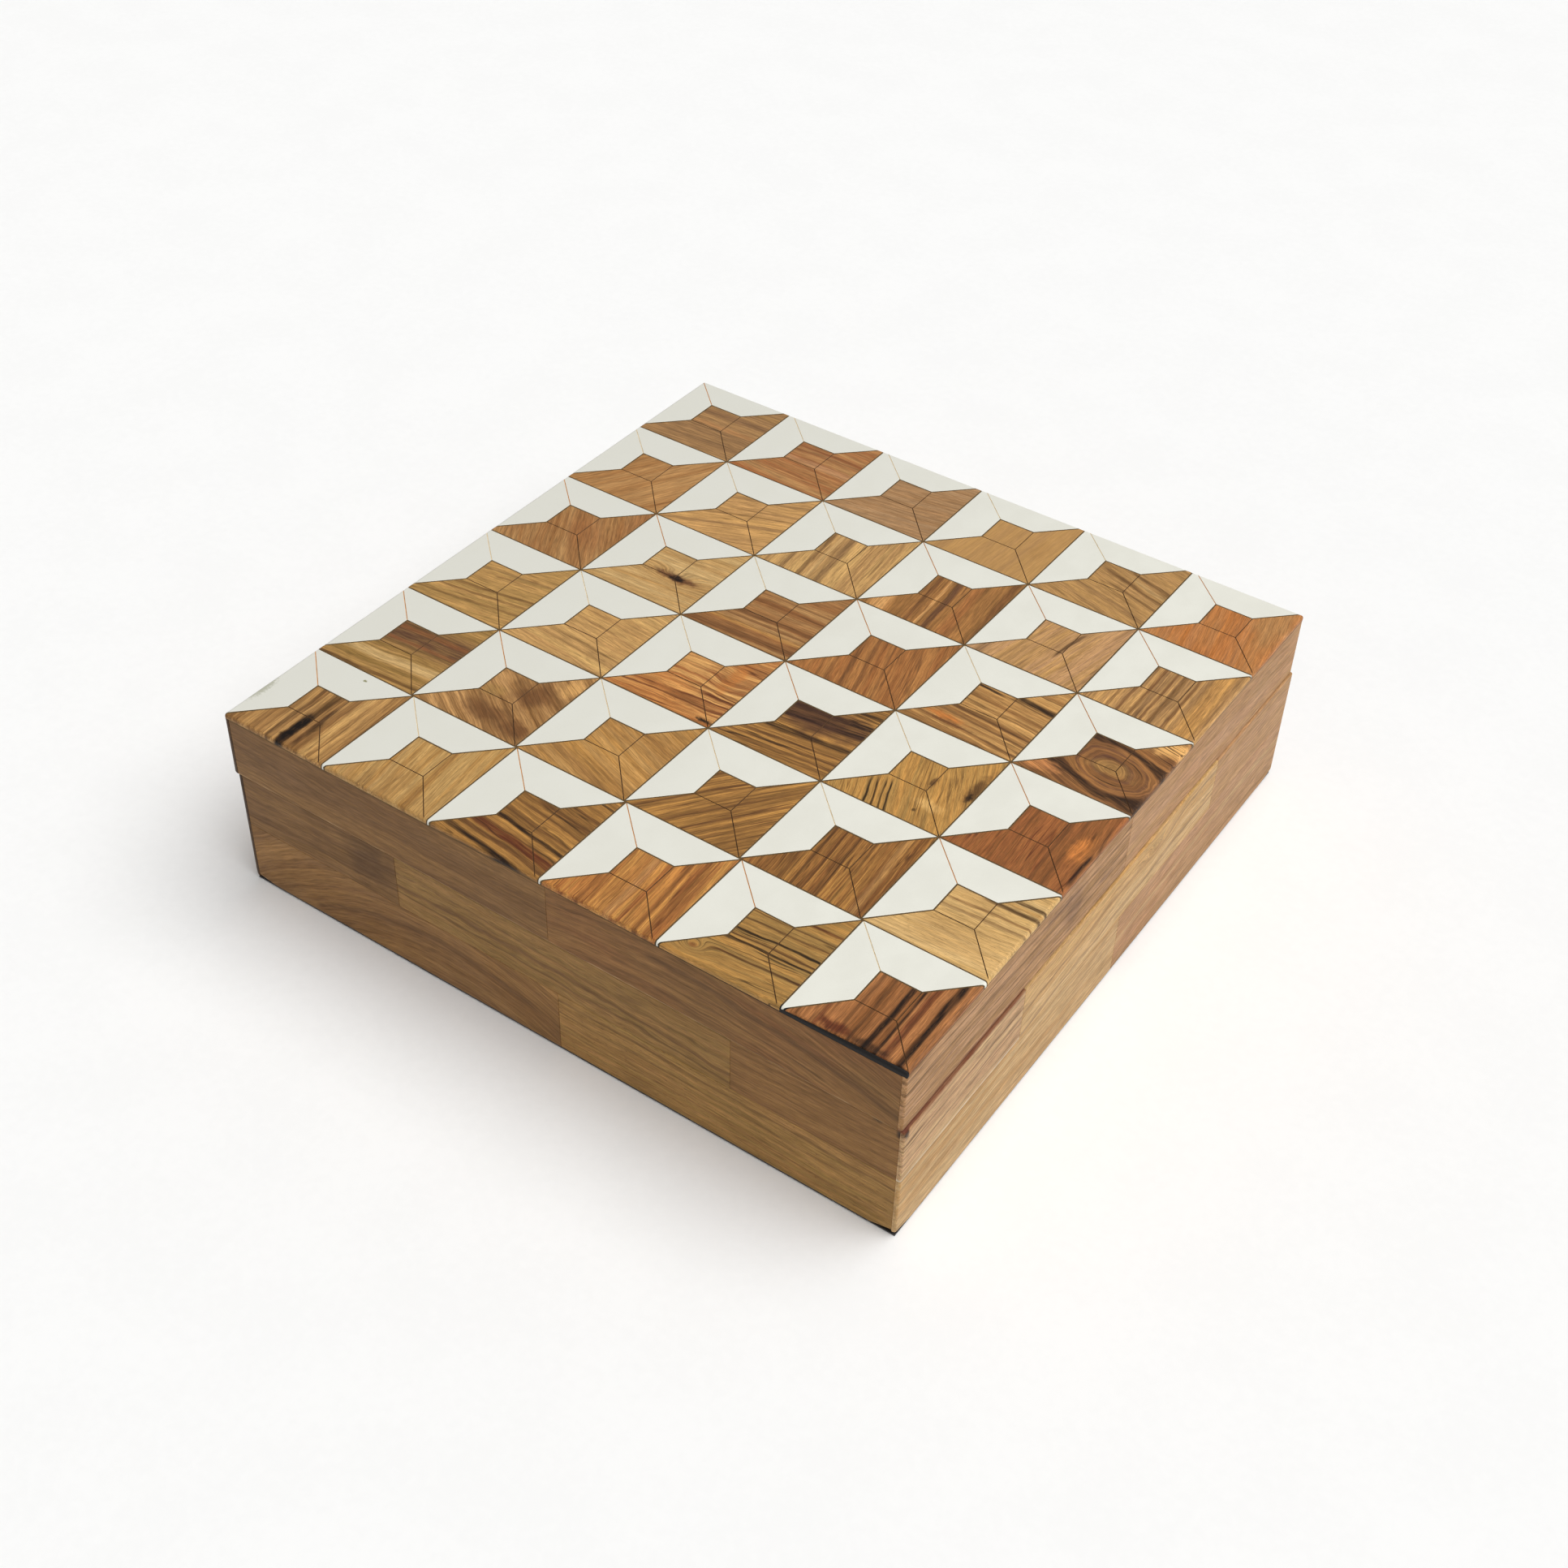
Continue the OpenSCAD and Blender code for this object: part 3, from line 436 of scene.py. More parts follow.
# The strips of the four faces. Those of the back and the left differ mostly in tone.
STRIP_WOOD = {
    "lid_front_left": spec("clay", "cocoa", -1.5, band=3.0, wave=2.0, veins=0.15, cloud="shade",
        pores=0.5, gain=0.85, edges=[(-9.2, -8.2, "sand", 0.5)]),
    "lid_front_right": spec("clay", "cocoa", band=2.6, wave=1.6, veins=0.25, cloud="russet",
        cloudy=0.3, arch=1.0, peak=-12, gain=0.88, edges=[(-9.2, -8.2, "sand", 0.6)],
        streaks=[(4.4, 1.3, "bark", 0.9, -20, 60), (-1.5, 0.7, "bark", 0.6, -30, 30),
        (8, 0.7, "bark", 0.5)]),
    "base_front_upper_left": spec("clay", "cocoa", 2, band=4.2, wave=1.6, veins=0.1, pores=0.3,
        gain=0.77, patches=[(17, 1, 9, 10, "bark", 0.8), (-10, 1, 9, 9, "clay", 0.4)]),
    "base_front_upper_middle": spec("clay", "moss", -2, band=2.2, wave=3.0, veins=0.5, vein="bark",
        pores=0.6, streaks=[(-1.6, 1.1, "bark", 0.85), (-4.6, 0.6, "bark", 0.7),
        (2.4, 0.6, "bark", 0.5)]),
    "base_front_upper_right": spec("clay", "cocoa", 1, band=1.5, wave=0.8, vein="bark", pores=0.5,
        gain=1.06, patches=[(23.4, 7.4, 1.6, 2.0, "black", 0.95), (17, 8.4, 1.6, 0.9, "black", 0.8)],
        edges=[(8.8, 7.8, "sand", 0.35)]),
    "base_front_lower_left": spec("clay", "cocoa", band=5.5, wave=1.2, veins=0.1, arch=2.2,
        peak=15, gain=1.05, cloud="shade", pores=0.3, streaks=[(4.2, 1.5, "bark", 0.85, -30, 44),
        (-2, 2.4, "cocoa", 0.5)]),
    "base_front_lower_right": spec("clay", "moss", -1, band=1.8, veins=0.5, vein="bark", pores=0.8,
        gain=1.22, streaks=[(6.6, 0.7, "bark", 0.7), (2.6, 0.5, "bark", 0.6), (-3, 0.5, "bark", 0.5)]),
    # Painted shade: the maroon and bark edges along the bottom are shade painted into the seam between lid
    # and base
    "lid_right_front": spec("rose", "clay", -2, band=1.8, wave=1.3, veins=0.6, vein="plum",
        gain=0.96, pores=0.6, patches=[(24, 0, 6, 8, "plum", 0.4), (16, 5, 10, 2, "plum", 0.35)],
        streaks=[(1.5, 0.7, "bark", 0.6), (5.5, 0.6, "bark", 0.6), (-2, 0.5, "bark", 0.6),
        (-5.5, 0.6, "bark", 0.4)], edges=[(-8.8, -7.4, "maroon", 0.9, -16, 12),
        (-9.2, -8.2, "bark", 0.7)]),
    "lid_right_back": spec("rose", "tan", -3, band=4.2, wave=1.8, veins=0.06, pores=0.15,
        cloud="salmon", cloudy=0.3, gain=0.86, streaks=[(-5, 1.6, "honey", 0.4), (4, 1.2, "tan", 0.5)]),
    # Painted shade: the maroon edge along the top is shade painted into the seam under the lid
    "base_right_upper_front": spec("sand", "rose", 1, band=1.5, veins=0.7, vein="bark", gain=0.9,
        pores=0.6, patches=[(-25.6, 7.6, 1.4, 2.0, "black", 0.95)], edges=[(-8.6, -7.4, "#dcd0ba", 0.7),
        (8.5, 7.3, "maroon", 0.8)], streaks=[(2, 0.4, "bark", 0.6), (-2.5, 0.4, "bark", 0.6),
        (6, 0.4, "bark", 0.5)]),
    "base_right_upper_middle": spec("sand", "honey", 3, band=3.0, wave=2.2, veins=0.3, vein="shade",
        gain=0.93, streaks=[(-5, 0.9, "shade", 0.6), (2.5, 0.8, "shade", 0.55), (6.5, 1.4, "straw", 0.6)],
        knots=[(18, 2.5, 7, 2.4, 4, 0.25)]),
    "base_right_upper_back": spec("rose", "tan", -1, band=4, wave=1.4, veins=0.06, pores=0.1,
        gain=0.9),
    "base_right_lower_front": spec("sand", "honey", band=3.6, wave=1.2, veins=0.05, pores=0.35,
        cloud="tan", gain=0.86),
    "base_right_lower_back": spec("rose", "tan", 2, band=3.4, wave=1.6, veins=0.15, arch=0.3,
        cloud="salmon", cloudy=0.35, gain=0.86, streaks=[(-7, 2, "clay", 0.5), (3, 1.6, "sand", 0.5)]),
    "lid_back_right": spec("tan", "brown", 1, band=2.6, wave=1.4),
    "lid_back_left": spec("tan", "olive", -2, band=2.2, wave=1.2, streaks=[(2, 1.2, "bark", 0.5)]),
    "base_back_upper_right": spec("tan", "brown", 2, band=1.8),
    "base_back_upper_middle": spec("brown", "cocoa", -2, band=2.8, wave=1.8, arch=0.3,
        streaks=[(-3, 1.2, "bark", 0.6)]),
    "base_back_upper_left": spec("honey", "tan", band=3.0, veins=0.15),
    "base_back_lower_right": spec("clay", "brown", -1, wave=1.2, pores=0.4),
    "base_back_lower_left": spec("honey", "tan", 2, band=3.2, wave=1.5, veins=0.25,
        streaks=[(1, 1.5, "brown", 0.45)]),
    "lid_left_back": spec("clay", "cocoa", 1, wave=1.2),
    "lid_left_front": spec("tan", "brown", -1, band=2.8, wave=1.5, veins=0.25, ends=1.0,
        streaks=[(-2, 1.2, "bark", 0.5)]),
    "base_left_upper_back": spec("tan", "olive", 2, band=2.0, pores=0.4),
    "base_left_upper_middle": spec("honey", "tan", -2, band=2.8, wave=1.7, arch=-0.3,
        streaks=[(3, 1.3, "brown", 0.5)]),
    "base_left_upper_front": spec("brown", "cocoa", 1, band=3.0, wave=1.1, ends=1.0),
    "base_left_lower_back": spec("brown", "cocoa", -2, band=2.6, wave=1.4),
    "base_left_lower_front": spec("tan", "clay", 1, band=2.2, wave=1.2, pores=0.4, ends=1.0),
}


def resin_material(name, stains):
    """Cast resin: nearly even, with faint clouds and with painted light that makes it lighter towards the
    right. Stains are (x, y, half width, half height, tone, strength), in mm from the grid's front left
    corner."""
    n = Nodes(name)
    plane = n.place((grid_left, grid_front, inlay_top))
    cloud = n.noise(n.vector("DIVIDE", plane, (9, 12, 9)), 3.0)
    speck = n.noise(n.vector("MULTIPLY", plane, (5, 5, 5)), 1.0)
    # Painted light: lighter from the grid's left edge to its right edge, standing in for the stronger light
    # from the right
    colour = n.paint(n.step(n.split(plane)[0], 0, 205), linear("#dad9cf"), "#e8e7dc")
    colour = n.paint(n.step(cloud, 0.3, 0.7, 0.0, 0.3), colour, "#d8d6ca")
    colour = n.paint(n.step(speck, 0.68, 0.74, 0.0, 0.35), colour, "#ccc6b6")
    for x, y, wide, high, tone, strength in stains:
        flat = n.vector("MULTIPLY", n.vector("SUBTRACT", plane, (x, y, 0)), (1 / wide, 1 / high, 0))
        rough = n.times(n.minus(n.noise(n.vector("MULTIPLY", plane, (1.5, 1.5, 1.5)), 3.0), 0.5), 1.6)
        colour = n.paint(n.step(n.plus(n.length(flat), rough), 0.4, 1.2, strength, 0.0), colour, tone)
    n.bump(speck, 0.004, 0.3)
    return n.finish(colour, n.step(speck, 0.3, 0.7, 0.4, 0.48), Specular_IOR_Level=0.3)


def speckled_material(name, tone, other, grain_mm, roughness, depth_mm, **settings):
    """A plain stuff with fine specks of a second tone: stained score marks, the floor."""
    n = Nodes(name)
    place = n.place()
    coarse = n.noise(n.vector("DIVIDE", place, (grain_mm * 9,) * 3), 3.0)
    fine = n.noise(n.vector("DIVIDE", place, (grain_mm,) * 3), 3.0, 0.65)
    both = n.plus(n.times(coarse, 0.5), n.times(fine, 0.5))
    n.bump(fine, depth_mm, 0.7)
    return n.finish(n.paint(n.step(both, 0.38, 0.62), linear(tone), other),
                    n.step(fine, 0.3, 0.7, roughness, roughness + 0.12), **settings)


def filler_look(name, tone, other, dark):
    """Filler with fine specks, blackened along the front edge towards the right corner."""
    n = Nodes(name)
    place = n.place((lid_high.x, lid_low.y, inlay_top))
    fine = n.noise(n.vector("MULTIPLY", place, (4, 4, 4)), 3.0, 0.65)
    x, y, _ = n.split(n.vector("ADD", place, n.vector("MULTIPLY", n.join(0.0, fine, 0.0), (0, 0.6, 0))))
    black = n.times(n.step(x, -95, -30), n.step(y, 1.0, 1.8, 1.0, 0.0))
    colour = n.paint(black, n.paint(n.step(fine, 0.38, 0.62), linear(tone), other), dark)
    n.bump(fine, 0.04, 0.7)
    return n.finish(colour, n.step(fine, 0.3, 0.7, 0.55, 0.68), Specular_IOR_Level=0.2)


def felt_material(name, tone, other):
    """Felt: matted short fibres that lie every way, with a soft sheen."""
    n = Nodes(name)
    place = n.place()
    bent = n.vector("ADD", place, n.vector("MULTIPLY", n.warp(place, 0.7, 2.0), (3, 3, 3)))
    one = n.noise(n.vector("MULTIPLY", bent, (7, 0.9, 1)), 3.0)
    two = n.noise(n.vector("MULTIPLY", bent, (0.9, 7, 1)), 3.0)
    hairs = n.math("MAXIMUM", one, two)
    cloud = n.noise(n.vector("DIVIDE", place, (18,) * 3), 3.0)
    colour = n.paint(n.step(hairs, 0.45, 0.75), linear(tone), other)
    colour = n.paint(n.step(cloud, 0.4, 0.7, 0.0, 0.3), colour, other)
    n.bump(hairs, 0.12, 0.9)
    return n.finish(colour, n.step(hairs, 0.3, 0.8, 0.85, 0.98), Sheen_Weight=0.35, Sheen_Roughness=0.5)


def brass_material(name, tone, dull):
    """Rolled brass with fine drawn lines and dull tarnish."""
    n = Nodes(name)
    place = n.place()
    drawn = n.noise(n.vector("MULTIPLY", place, (0.25, 9, 9)))
    tarnish = n.noise(n.vector("DIVIDE", place, (3.5,) * 3), 4.0, 0.6)
    colour = n.paint(n.step(tarnish, 0.42, 0.68, 0.0, 0.75), linear(tone), dull)
    n.bump(drawn, 0.01, 0.5)
    rough = n.plus(n.step(tarnish, 0.35, 0.7, 0.22, 0.45), n.step(drawn, 0.3, 0.7, 0.0, 0.08))
    return n.finish(colour, rough, Metallic=1.0)


# ---- meshes

def built(name, points, faces, materials):
    """An object from points and faces."""
    mesh = bpy.data.meshes.new(name)
    mesh.from_pydata([tuple(p) for p in points], [], faces)
    mesh.validate()
    for material in materials:
        mesh.materials.append(material)
    shade(mesh)
    obj = bpy.data.objects.new(name, mesh)
    bpy.context.scene.collection.objects.link(obj)
    return obj


def shade(mesh):
    """Large faces are shaded flat, and the small ones of an arris smooth up to 35 degrees."""
    mesh.set_sharp_from_angle(angle=math.radians(35))
    mesh.polygons.foreach_set("use_smooth", [p.area < 20 * MM * MM for p in mesh.polygons])


def skin(count, rings, first=0):
    """Faces over rings of count points each, with a flat cap at each end."""
    last = first + (rings - 1) * count
    faces = [tuple(range(first + count - 1, first - 1, -1)), tuple(range(last, last + count))]
    for low in range(first, last, count):
        for i in range(count):
            j = (i + 1) % count
            faces.append((low + i, low + j, low + count + j, low + count + i))
    return faces


def loft(name, rings, materials):
    """A closed mesh through rings of equally many points."""
    points = [p for ring in rings for p in ring]
    return built(name, points, skin(len(rings[0]), len(rings)), materials)


def clipped(polygon, normal, limit):
    """The part of a polygon where the dot product with normal is at most limit."""
    kept = []
    for i, b in enumerate(polygon):
        a = polygon[i - 1]
        da, db = a.dot(normal) - limit, b.dot(normal) - limit
        if (da < 0) != (db < 0):
            kept.append(a + (b - a) * (da / (da - db)))
        if db < 0:
            kept.append(b)
    return kept


def moved_in(polygon, distances):
    """A counter-clockwise polygon with side i, from point i to the next, moved inwards by distances[i]."""
    out = []
    for i, b in enumerate(polygon):
        c = polygon[(i + 1) % len(polygon)]
        u, v = (b - polygon[i - 1]).normalized(), (c - b).normalized()
        n1, n2 = Vector((-u.y, u.x)), Vector((-v.y, v.x))
        d1, d2 = distances[i - 1], distances[i]
        cross = n1.x * n2.y - n1.y * n2.x
        out.append(b + Vector((d1 * n2.y - d2 * n1.y, n1.x * d2 - n2.x * d1)) / cross)
    return out


def rounded(radius, steps):
    """Points (run, drop) of a quarter round, from its start at (0, radius) to (radius, 0)."""
    turns = [QUARTER_TURN * k / steps for k in range(steps + 1)]
    return [(radius * (1 - math.cos(turn)), radius * (1 - math.sin(turn))) for turn in turns]


def cut(obj, cutter, self_touching=True):
    """obj minus cutter, as obj's own mesh. The cut's faces keep the cutter's material index."""
    modifier = obj.modifiers.new("cut", "BOOLEAN")
    modifier.operation, modifier.solver, modifier.object = "DIFFERENCE", "EXACT", cutter
    modifier.use_self = self_touching
    modifier.material_mode = "INDEX"
    shaped = bpy.data.meshes.new_from_object(obj.evaluated_get(bpy.context.evaluated_depsgraph_get()))
    obj.modifiers.clear()
    old, obj.data = obj.data, shaped
    shaped.name = obj.name
    bpy.data.meshes.remove(old)
    bpy.data.meshes.remove(cutter.data)
    shade(shaped)


def put(piece, body, slot, *nodes):
    """A finished piece rides on its body and stands for its nodes. The slot is not used."""
    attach(piece, body)
    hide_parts(*nodes)


# ---- the inlay

EDGE_SHARE, CORNER_SHARE = 1.0, 1.25
ARRIS_STEPS = 4
DOUBLED = 0.02 * MM
ON_LINE = 0.01 * MM
TIP_LENGTH, TIP_WIDTH = 0.35 * MM, 0.25 * MM
WORN_FROM_TILE, WORN_AT_START, WORN_AT_CORNER = 5.02, 0.1 * MM, 0.75 * MM
SHORT_SIDE = 2 * MM

lid_sides = [(Vector((-1, 0)), -lid_low.x), (Vector((1, 0)), lid_high.x),
             (Vector((0, -1)), -lid_low.y), (Vector((0, 1)), lid_high.y)]
lid_corners = []
for sx, x in ((-1, lid_low.x), (1, lid_high.x)):
    for sy, y in ((-1, lid_low.y), (1, lid_high.y)):
        normal = Vector((sx, sy)).normalized()
        lid_corners.append((normal, normal.dot(Vector((x, y))) - LID_CORNER_CUT / math.sqrt(2)))

# At the front right corner the pieces end short of the edge, and the filler shows in front of them
worn_from = Vector((lid_low.x + WORN_FROM_TILE * pitch, lid_low.y + WORN_AT_START))
worn_run = (Vector((lid_high.x, lid_low.y + WORN_AT_CORNER)) - worn_from).normalized()
worn_normal = Vector((worn_run.y, -worn_run.x))
worn_line = (worn_normal, worn_normal.dot(worn_from))


def tile_corner(row, column):
    """The front left corner of a tile's square."""
    shift = FRONT_ROW_SHIFT if row == 1 else 0
    return Vector((grid_left + shift + (column - 1) * pitch, grid_front + (row - 1) * pitch))


def tile_outline(shape, row, column):
    """One piece's outline on the lid, and each side's share of the lid's arris: 0 is a small arris."""
    whole = [Vector(p) * pitch for p in shape]
    outline = [tile_corner(row, column) + p for p in moved_in(whole, [FILLER_LINE / 2] * len(whole))]
    worn = [worn_line] if (row, column) == (1, TILES) else []
    for normal, limit in lid_sides + lid_corners + worn:
        outline = clipped(outline, normal, limit)
    outline = [p for i, p in enumerate(outline) if (p - outline[i - 1]).length > DOUBLED]
    if shape is WOOD_SHAPE and (row, column) == (1, 1):
        # The tip at the lid's corner is narrower than its arris, so it ends a little early
        outline = [p for p in outline if p.x > lid_low.x + TIP_WIDTH or p.y > lid_low.y + TIP_LENGTH]
    shares = []
    for i, a in enumerate(outline):
        middle = (a + outline[(i + 1) % len(outline)]) / 2
        share = 0
        for lines, value in ((lid_sides + worn, EDGE_SHARE), (lid_corners, CORNER_SHARE)):
            if any(abs(middle.dot(normal) - limit) < ON_LINE for normal, limit in lines):
                share = value
        shares.append(share)
    return outline, shares


def tile_rings(outline, shares, bottom, top):
    """Rings of a piece with sides straight up, a small arris, and a large one along the lid's edges."""
    rings = [[(p.x, p.y, bottom) for p in outline]]
    for run, drop in rounded(LID_ARRIS, ARRIS_STEPS):
        inner = 0.0 if drop else TILE_ARRIS
        inset = moved_in(outline, [run * share if share else inner for share in shares])
        rings.append([(p.x, p.y, top - drop) for p in inset])
    return rings


def score_cutter(name, lines, row, column, top, materials):
    """V-shaped bars along the scored lines of one tile."""
    corner = tile_corner(row, column)
    half = SCORE_WIDTH / 2 * (1 + SCORE_ABOVE / SCORE_DEPTH)
    points, faces = [], []
    for start, end in lines:
        a, b = corner + Vector(start) * pitch, corner + Vector(end) * pitch
        run = (b - a).normalized()
        side = Vector((-run.y, run.x)) * half
        a -= run * (SCORE_PAST_MEETING if start == SCORES_MEET else SCORE_PAST_EDGE)
        b += run * (SCORE_PAST_MEETING if end == SCORES_MEET else SCORE_PAST_EDGE)
        faces += skin(3, 2, len(points))
        for p in (a, b):
            points += [(*(p + side), top + SCORE_ABOVE), (*(p - side), top + SCORE_ABOVE),
                       (*p, top - SCORE_DEPTH)]
    cutter = built(name, points, faces, materials)
    cutter.data.polygons.foreach_set("material_index", [len(materials) - 1] * len(faces))
    return cutter


STRONG_SCORES = {(1, 1), (1, 3), (1, 4), (1, 5), (2, 1), (2, 2), (2, 6), (3, 4), (3, 6), (4, 1), (4, 2),
                 (4, 4), (4, 6), (5, 4), (5, 5), (5, 6), (6, 1), (6, 6)}
resin = resin_material("resin", [])
stained_resin = resin_material("resin_stained", [(2.2, 14, 1.6, 5.5, "#9a9a80", 0.6),
                                                 (21, 31.4, 0.7, 0.45, "#7d7a45", 0.9)])
score_strong = speckled_material("resin_score_strong", "#cf9a5c", "#dcae78", 0.3, 0.5, 0.02)
score_faint = speckled_material("resin_score_faint", "#e2d0ae", "#e8dcc2", 0.3, 0.5, 0.02)
score_burnt = speckled_material("wood_score", "#4a3018", "#6a4a28", 0.3, 0.6, 0.02)
chance = random.Random(7)
UNEVEN_TOPS = 0.04 * MM

prisms = []


def inlaid(kind, shape, scores, row, column, materials):
    """One inlaid piece, and its outline kept for the filler. Its top lies at most 0.04 mm low, by chance."""
    label = f"r{row}_c{column}"
    outline, shares = tile_outline(shape, row, column)
    prisms.append(outline)
    top = inlay_top - chance.uniform(0.0, UNEVEN_TOPS)
    piece = loft(f"{kind}_tile_{label}", tile_rings(outline, shares, inlay_bottom, top), materials)
    cut(piece, score_cutter(f"cutter_{label}", scores, row, column, top, materials))
    put(piece, "lid", "inlay_wood" if kind == "wood" else "white_resin", f"{kind}_row_{row}")


for row in range(1, TILES + 1):
    for column in range(1, TILES + 1):
        middle = (grid_left + (column - 0.5) * pitch, grid_front + (row - 0.5) * pitch, inlay_top)
        look, seed = TILE_WOOD[row, column], 10 * row + column
        wood = wood_material(f"wood_r{row}_c{column}", look, middle, (0, 1, 2), seed)
        inlaid("wood", WOOD_SHAPE, WOOD_SCORES, row, column, [wood, score_burnt])
        white = stained_resin if (row, column) == (1, 1) else resin
        score = score_strong if (row, column) in STRONG_SCORES else score_faint
        inlaid("resin", RESIN_SHAPE, RESIN_SCORES, row, column, [white, score])

# The filler: a slab with the pieces' places cut out of it, a little lower than they are
FILLER_DROP = 0.08 * MM
FILLER_INSET = 0.03 * MM
filler_material = filler_look("filler", "#4f3e26", "#6b5432", "#1d1b1a")
left, right = lid_low.x + FILLER_INSET, lid_high.x - FILLER_INSET
front, behind = lid_low.y + FILLER_INSET, lid_high.y - FILLER_INSET
slab = [Vector(p) for p in ((left, front), (right, front), (right, behind), (left, behind))]
for normal, limit in lid_corners:
    slab = clipped(slab, normal, limit)
slab_shares = [CORNER_SHARE if (a - slab[(i + 1) % len(slab)]).length < SHORT_SIDE else EDGE_SHARE
               for i, a in enumerate(slab)]
filler_rings = tile_rings(slab, slab_shares, lid_low.z, inlay_top - FILLER_DROP)
filler = loft("filler_bed", filler_rings, [filler_material])
points, faces = [], []
for outline in prisms:
    faces += skin(len(outline), 2, len(points))
    points += [(p.x, p.y, z) for z in (inlay_bottom, inlay_top + MM) for p in outline]
cut(filler, built("cutter_bed", points, faces, [filler_material]), self_touching=False)
put(filler, "lid", "filler", "inlay_filler")

# ---- side strips

INNER_ARRIS = 0.12 * MM
OUTER_ARRIS = 0.5 * MM
TOP_ARRIS = 0.4 * MM
EDGE_STEPS = 3
STATION = 6 * MM
MOST_ROUNDING = 0.8
WAVINESS, WAVES_PER_METRE = 0.035 * MM, 60
# The base's bottom corners are rounded off more, and lifted where the sheet under the base shows
CORNER_ROUNDING, CORNER_LENGTH = 1.1 * MM, 3 * MM
CORNER_LIFT, NEAREST_CORNER_LIFT, LIFT_LENGTH = 0.3 * MM, 0.9 * MM, 1.6 * MM
# The seam's edges are worn wider towards the front right corner
SEAM_WEAR_ABOVE, SEAM_WEAR_BELOW, WEAR_LENGTH = 0.45 * MM, 0.5 * MM, 45 * MM


def strip_piece(node, look, seed):
    """A strip with eased arrises, larger ones on the box's outside edges, and a slightly uneven face."""
    low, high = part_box(node)
    part, _, face, *place = node.split("_")
    along = 0 if face in ("front", "back") else 1
    through = 1 - along
    outward = -1 if face in ("front", "left") else 1
    start, length = low[along], high[along] - low[along]
    thickness = high[through] - low[through]
    inside = high[through] if outward < 0 else low[through]
    is_lid, is_lower, top_open = part == "lid", "lower" in place, "upper" in place
    bottom_open = is_lid or is_lower
    corners = [side in place for side in (("front", "back") if along else ("left", "right"))]

    def near_corner(s, reach):
        """1 at a corner of the box, falling to 0 at a distance of reach from it."""
        gap = min(s if corners[0] else 1.0, length - s if corners[1] else 1.0)
        return max(0.0, 1 - gap / reach)

    stations = []
    for at_corner, at_start in zip(corners, (True, False)):
        is_open = along and at_corner
        stops = rounded(OUTER_ARRIS if is_open else INNER_ARRIS, EDGE_STEPS if is_open else 1)
        stations.append(stops if at_start else [(length - s, e) for s, e in reversed(stops)])
    count = max(1, round(length / STATION))
    first, last = stations[0][-1][0], stations[1][0][0]
    between = [(first + (last - first) * k / count, 0.0) for k in range(1, count)]

    rings = []
    for s, eased in stations[0] + between + stations[1]:
        bottom_r = OUTER_ARRIS if bottom_open else INNER_ARRIS
        top_r = TOP_ARRIS if top_open else INNER_ARRIS
        lift = 0.0
        if is_lower:
            bottom_r += CORNER_ROUNDING * near_corner(s, CORNER_LENGTH)
            most = NEAREST_CORNER_LIFT if "right" in node and "front" in node else CORNER_LIFT
            lift = most * near_corner(s, LIFT_LENGTH) ** 2
        if face == "right" and "front" in place:
            worn = max(0.0, 1 - s / WEAR_LENGTH)
            bottom_r += SEAM_WEAR_ABOVE * worn * is_lid
            top_r += SEAM_WEAR_BELOW * worn * top_open
        wave = noise.noise(Vector((s * WAVES_PER_METRE, seed * 3.1, 0.5)))
        reach = thickness - eased - WAVINESS * (1 + wave)
        bottom_in, top_in = min(bottom_r, MOST_ROUNDING * reach), min(top_r, MOST_ROUNDING * reach)
        z0, z1 = low.z + eased * bottom_open + lift, high.z - eased * (top_open or is_lid) * 0.5
        quarter = rounded(1, EDGE_STEPS)
        ring = [(0.0, z0)] + [(reach - bottom_in * drop, z0 + bottom_r * run) for run, drop in quarter]
        ring += [(reach - top_in * run, z1 - top_r * drop) for run, drop in quarter] + [(0.0, z1)]
        points = []
        for depth, z in ring:
            p = Vector((0, 0, z))
            p[along], p[through] = start + s, inside + outward * depth
            points.append(p)
        rings.append(points)
    if (along == 0) == (outward < 0):
        rings = [ring[::-1] for ring in rings]

    if look["ends"]:
        look = {**look, "ends": length / MM}
    material = wood_material(f"wood_{node}", look, (low + high) / 2, (along, 2, through), seed)
    piece = loft(node.replace("strip", "slat"), rings, [material])
    put(piece, part, "side_wood_light" if face == "right" else "side_wood", node)


for seed, (place, look) in enumerate(sorted(STRIP_WOOD.items())):
    strip_piece(place.replace("_", "_strip_", 1), look, 100 + seed)

# ---- felt

FELT_CELLS = 48
FELT_DIPS_PER_METRE, FELT_RIM_DIP = 90, 0.12 * MM
FELT_PULLS_PER_METRE, FELT_RIM_PULL = 40, 0.05 * MM


def felt_sheet(name, node, material, wave):
    """A thin sheet, slightly uneven on its free side and at its edges, and its flat size."""
    low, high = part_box(node)
    count, side = FELT_CELLS, FELT_CELLS + 1
    points, faces = [], []
    for k, z in enumerate((low.z, high.z)):
        for j in range(side):
            for i in range(side):
                x, y = (low.x + (high.x - low.x) * i / count, low.y + (high.y - low.y) * j / count)
                rim = i in (0, count) or j in (0, count)
                p = Vector((x, y)) * FELT_DIPS_PER_METRE
                dip = abs(noise.noise(Vector((*p, k)))) * wave + FELT_RIM_DIP * rim
                p = Vector((x, y)) * FELT_PULLS_PER_METRE
                pull = FELT_RIM_PULL * (1 + noise.noise(Vector((*p, 3.0)))) * rim
                x += pull * ((i == 0) - (i == count))
                y += pull * ((j == 0) - (j == count))
                points.append((x, y, z - dip if k else z + dip * 0.5))
    for k in range(2):
        for j in range(count):
            for i in range(count):
                a = k * side * side + j * side + i
                quad = (a, a + 1, a + side + 1, a + side)
                faces.append(quad if k else quad[::-1])
    last = side * side - 1
    ring = [*range(count), *range(count, last, side), *range(last, last - count, -1),
            *range(last - count, 0, -side)]
    for a, b in zip(ring, ring[1:] + ring[:1]):
        faces.append((a, b, b + side * side, a + side * side))
    return built(name, points, faces, [material]), (high.x - low.x, high.y - low.y)


